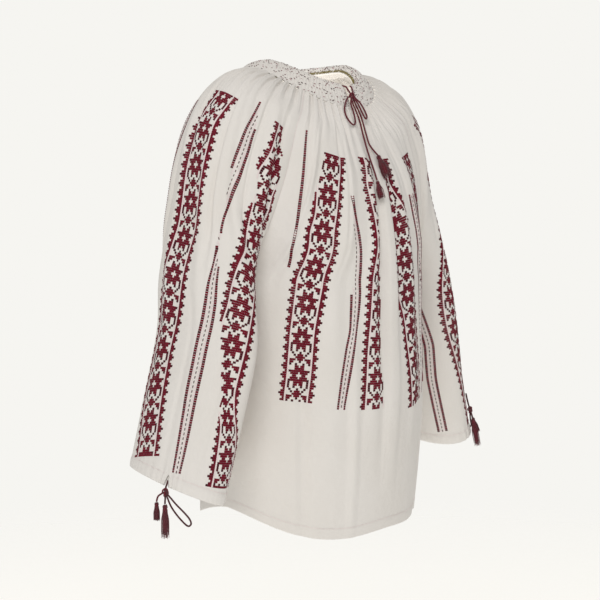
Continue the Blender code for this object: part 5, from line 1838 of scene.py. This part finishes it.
class BLOUSE_OT_seams(bpy.types.Operator):
    """Sew the seams of the sleeves and sides, the hems and the slit's edges"""

    bl_idname = "blouse.seams"
    bl_label = "Seams and hems"

    def execute(self, context):
        finish = materials()
        high = np.linspace(SEAM_START, ARMPIT, LONG_POINTS)
        low = np.linspace(ARMPIT, HEM_ROW - SEAM_START, LONG_POINTS)

        def down(sheet, rows, share, width=SEAM_HALF):
            """A seam down a panel."""
            return (*sheet.at(rows, np.full(len(rows), share)), width)

        def across(sheet, start, end, count, width):
            """A line of stitches along a hem."""
            shares = np.linspace(start, end, count)
            return (*sheet.at(np.full(count, HEM_ROW - HEM_STITCH_UP), shares), width)

        for side in ("right", "left"):
            sheet = cloth(side)
            vent = sheet.plan.vent
            runs = [down(sheet, high, SEAM_SHARE), down(sheet, high, 1 - SEAM_SHARE),
                    down(sheet, low, SEAM_SHARE),
                    across(sheet, EDGE_SHARE, vent - VENT_CLEAR, CUFF_POINTS, CUFF_STITCH),
                    across(sheet, vent + VENT_CLEAR, 1 - EDGE_SHARE, CUFF_POINTS,
                           CUFF_STITCH)]
            add_seams(f"sleeve_seams_{side}", [finish["white"]], runs)
        for name, edges in (("front", (SEAM_SHARE, 1 - SEAM_SHARE)), ("back", ())):
            sheet = cloth(name)
            runs = [down(sheet, low, share) for share in edges]
            runs.append(across(sheet, EDGE_SHARE, 1 - EDGE_SHARE, HEM_POINTS, HEM_STITCH))
            if name == "front":
                slit = np.linspace(SEAM_START, SLIT_END_ROW + SEAM_START, SLIT_POINTS)
                runs += [down(sheet, slit, 0.5 + turn * SLIT_SHARE, SLIT_STITCH)
                         for turn in (-1, 1)]
            add_seams(f"{name}_seams", [finish["white"]], runs)
        return {"FINISHED"}


class BLOUSE_PT_panel(bpy.types.Panel):
    """Buttons and settings of the blouse."""

    bl_idname = "BLOUSE_PT_panel"
    bl_label = "Romanian Blouse"
    bl_space_type = "VIEW_3D"
    bl_region_type = "UI"
    bl_category = "Blouse"

    def draw(self, context):
        for look in (context.scene.blouse, context.scene.blouse_stage):
            for name in look.__annotations__:
                self.layout.prop(look, name)
        for operator in OPERATORS:
            self.layout.operator(operator.bl_idname)


OPERATORS = (BLOUSE_OT_stage, BLOUSE_OT_neck_tie, BLOUSE_OT_cuff_ties, BLOUSE_OT_neck_band,
             BLOUSE_OT_front, BLOUSE_OT_back, BLOUSE_OT_sleeves, BLOUSE_OT_seams)
CLASSES = (BlouseLook, StageLook, *OPERATORS, BLOUSE_PT_panel)


def register():
    """Add the classes and the scene's settings."""
    for kind in CLASSES:
        bpy.utils.register_class(kind)
    bpy.types.Scene.blouse = bpy.props.PointerProperty(type=BlouseLook)
    bpy.types.Scene.blouse_stage = bpy.props.PointerProperty(type=StageLook)


def unregister():
    """Take them away again."""
    del bpy.types.Scene.blouse_stage
    del bpy.types.Scene.blouse
    for kind in reversed(CLASSES):
        bpy.utils.unregister_class(kind)


def main():
    """Build the blouse and its stage."""
    register()
    bpy.ops.blouse.stage()
    bpy.ops.blouse.neck_tie()
    bpy.ops.blouse.cuff_ties()
    bpy.ops.blouse.neck_band()
    bpy.ops.blouse.front()
    bpy.ops.blouse.back()
    bpy.ops.blouse.sleeves()
    bpy.ops.blouse.seams()


if __name__ == "__main__":
    main()
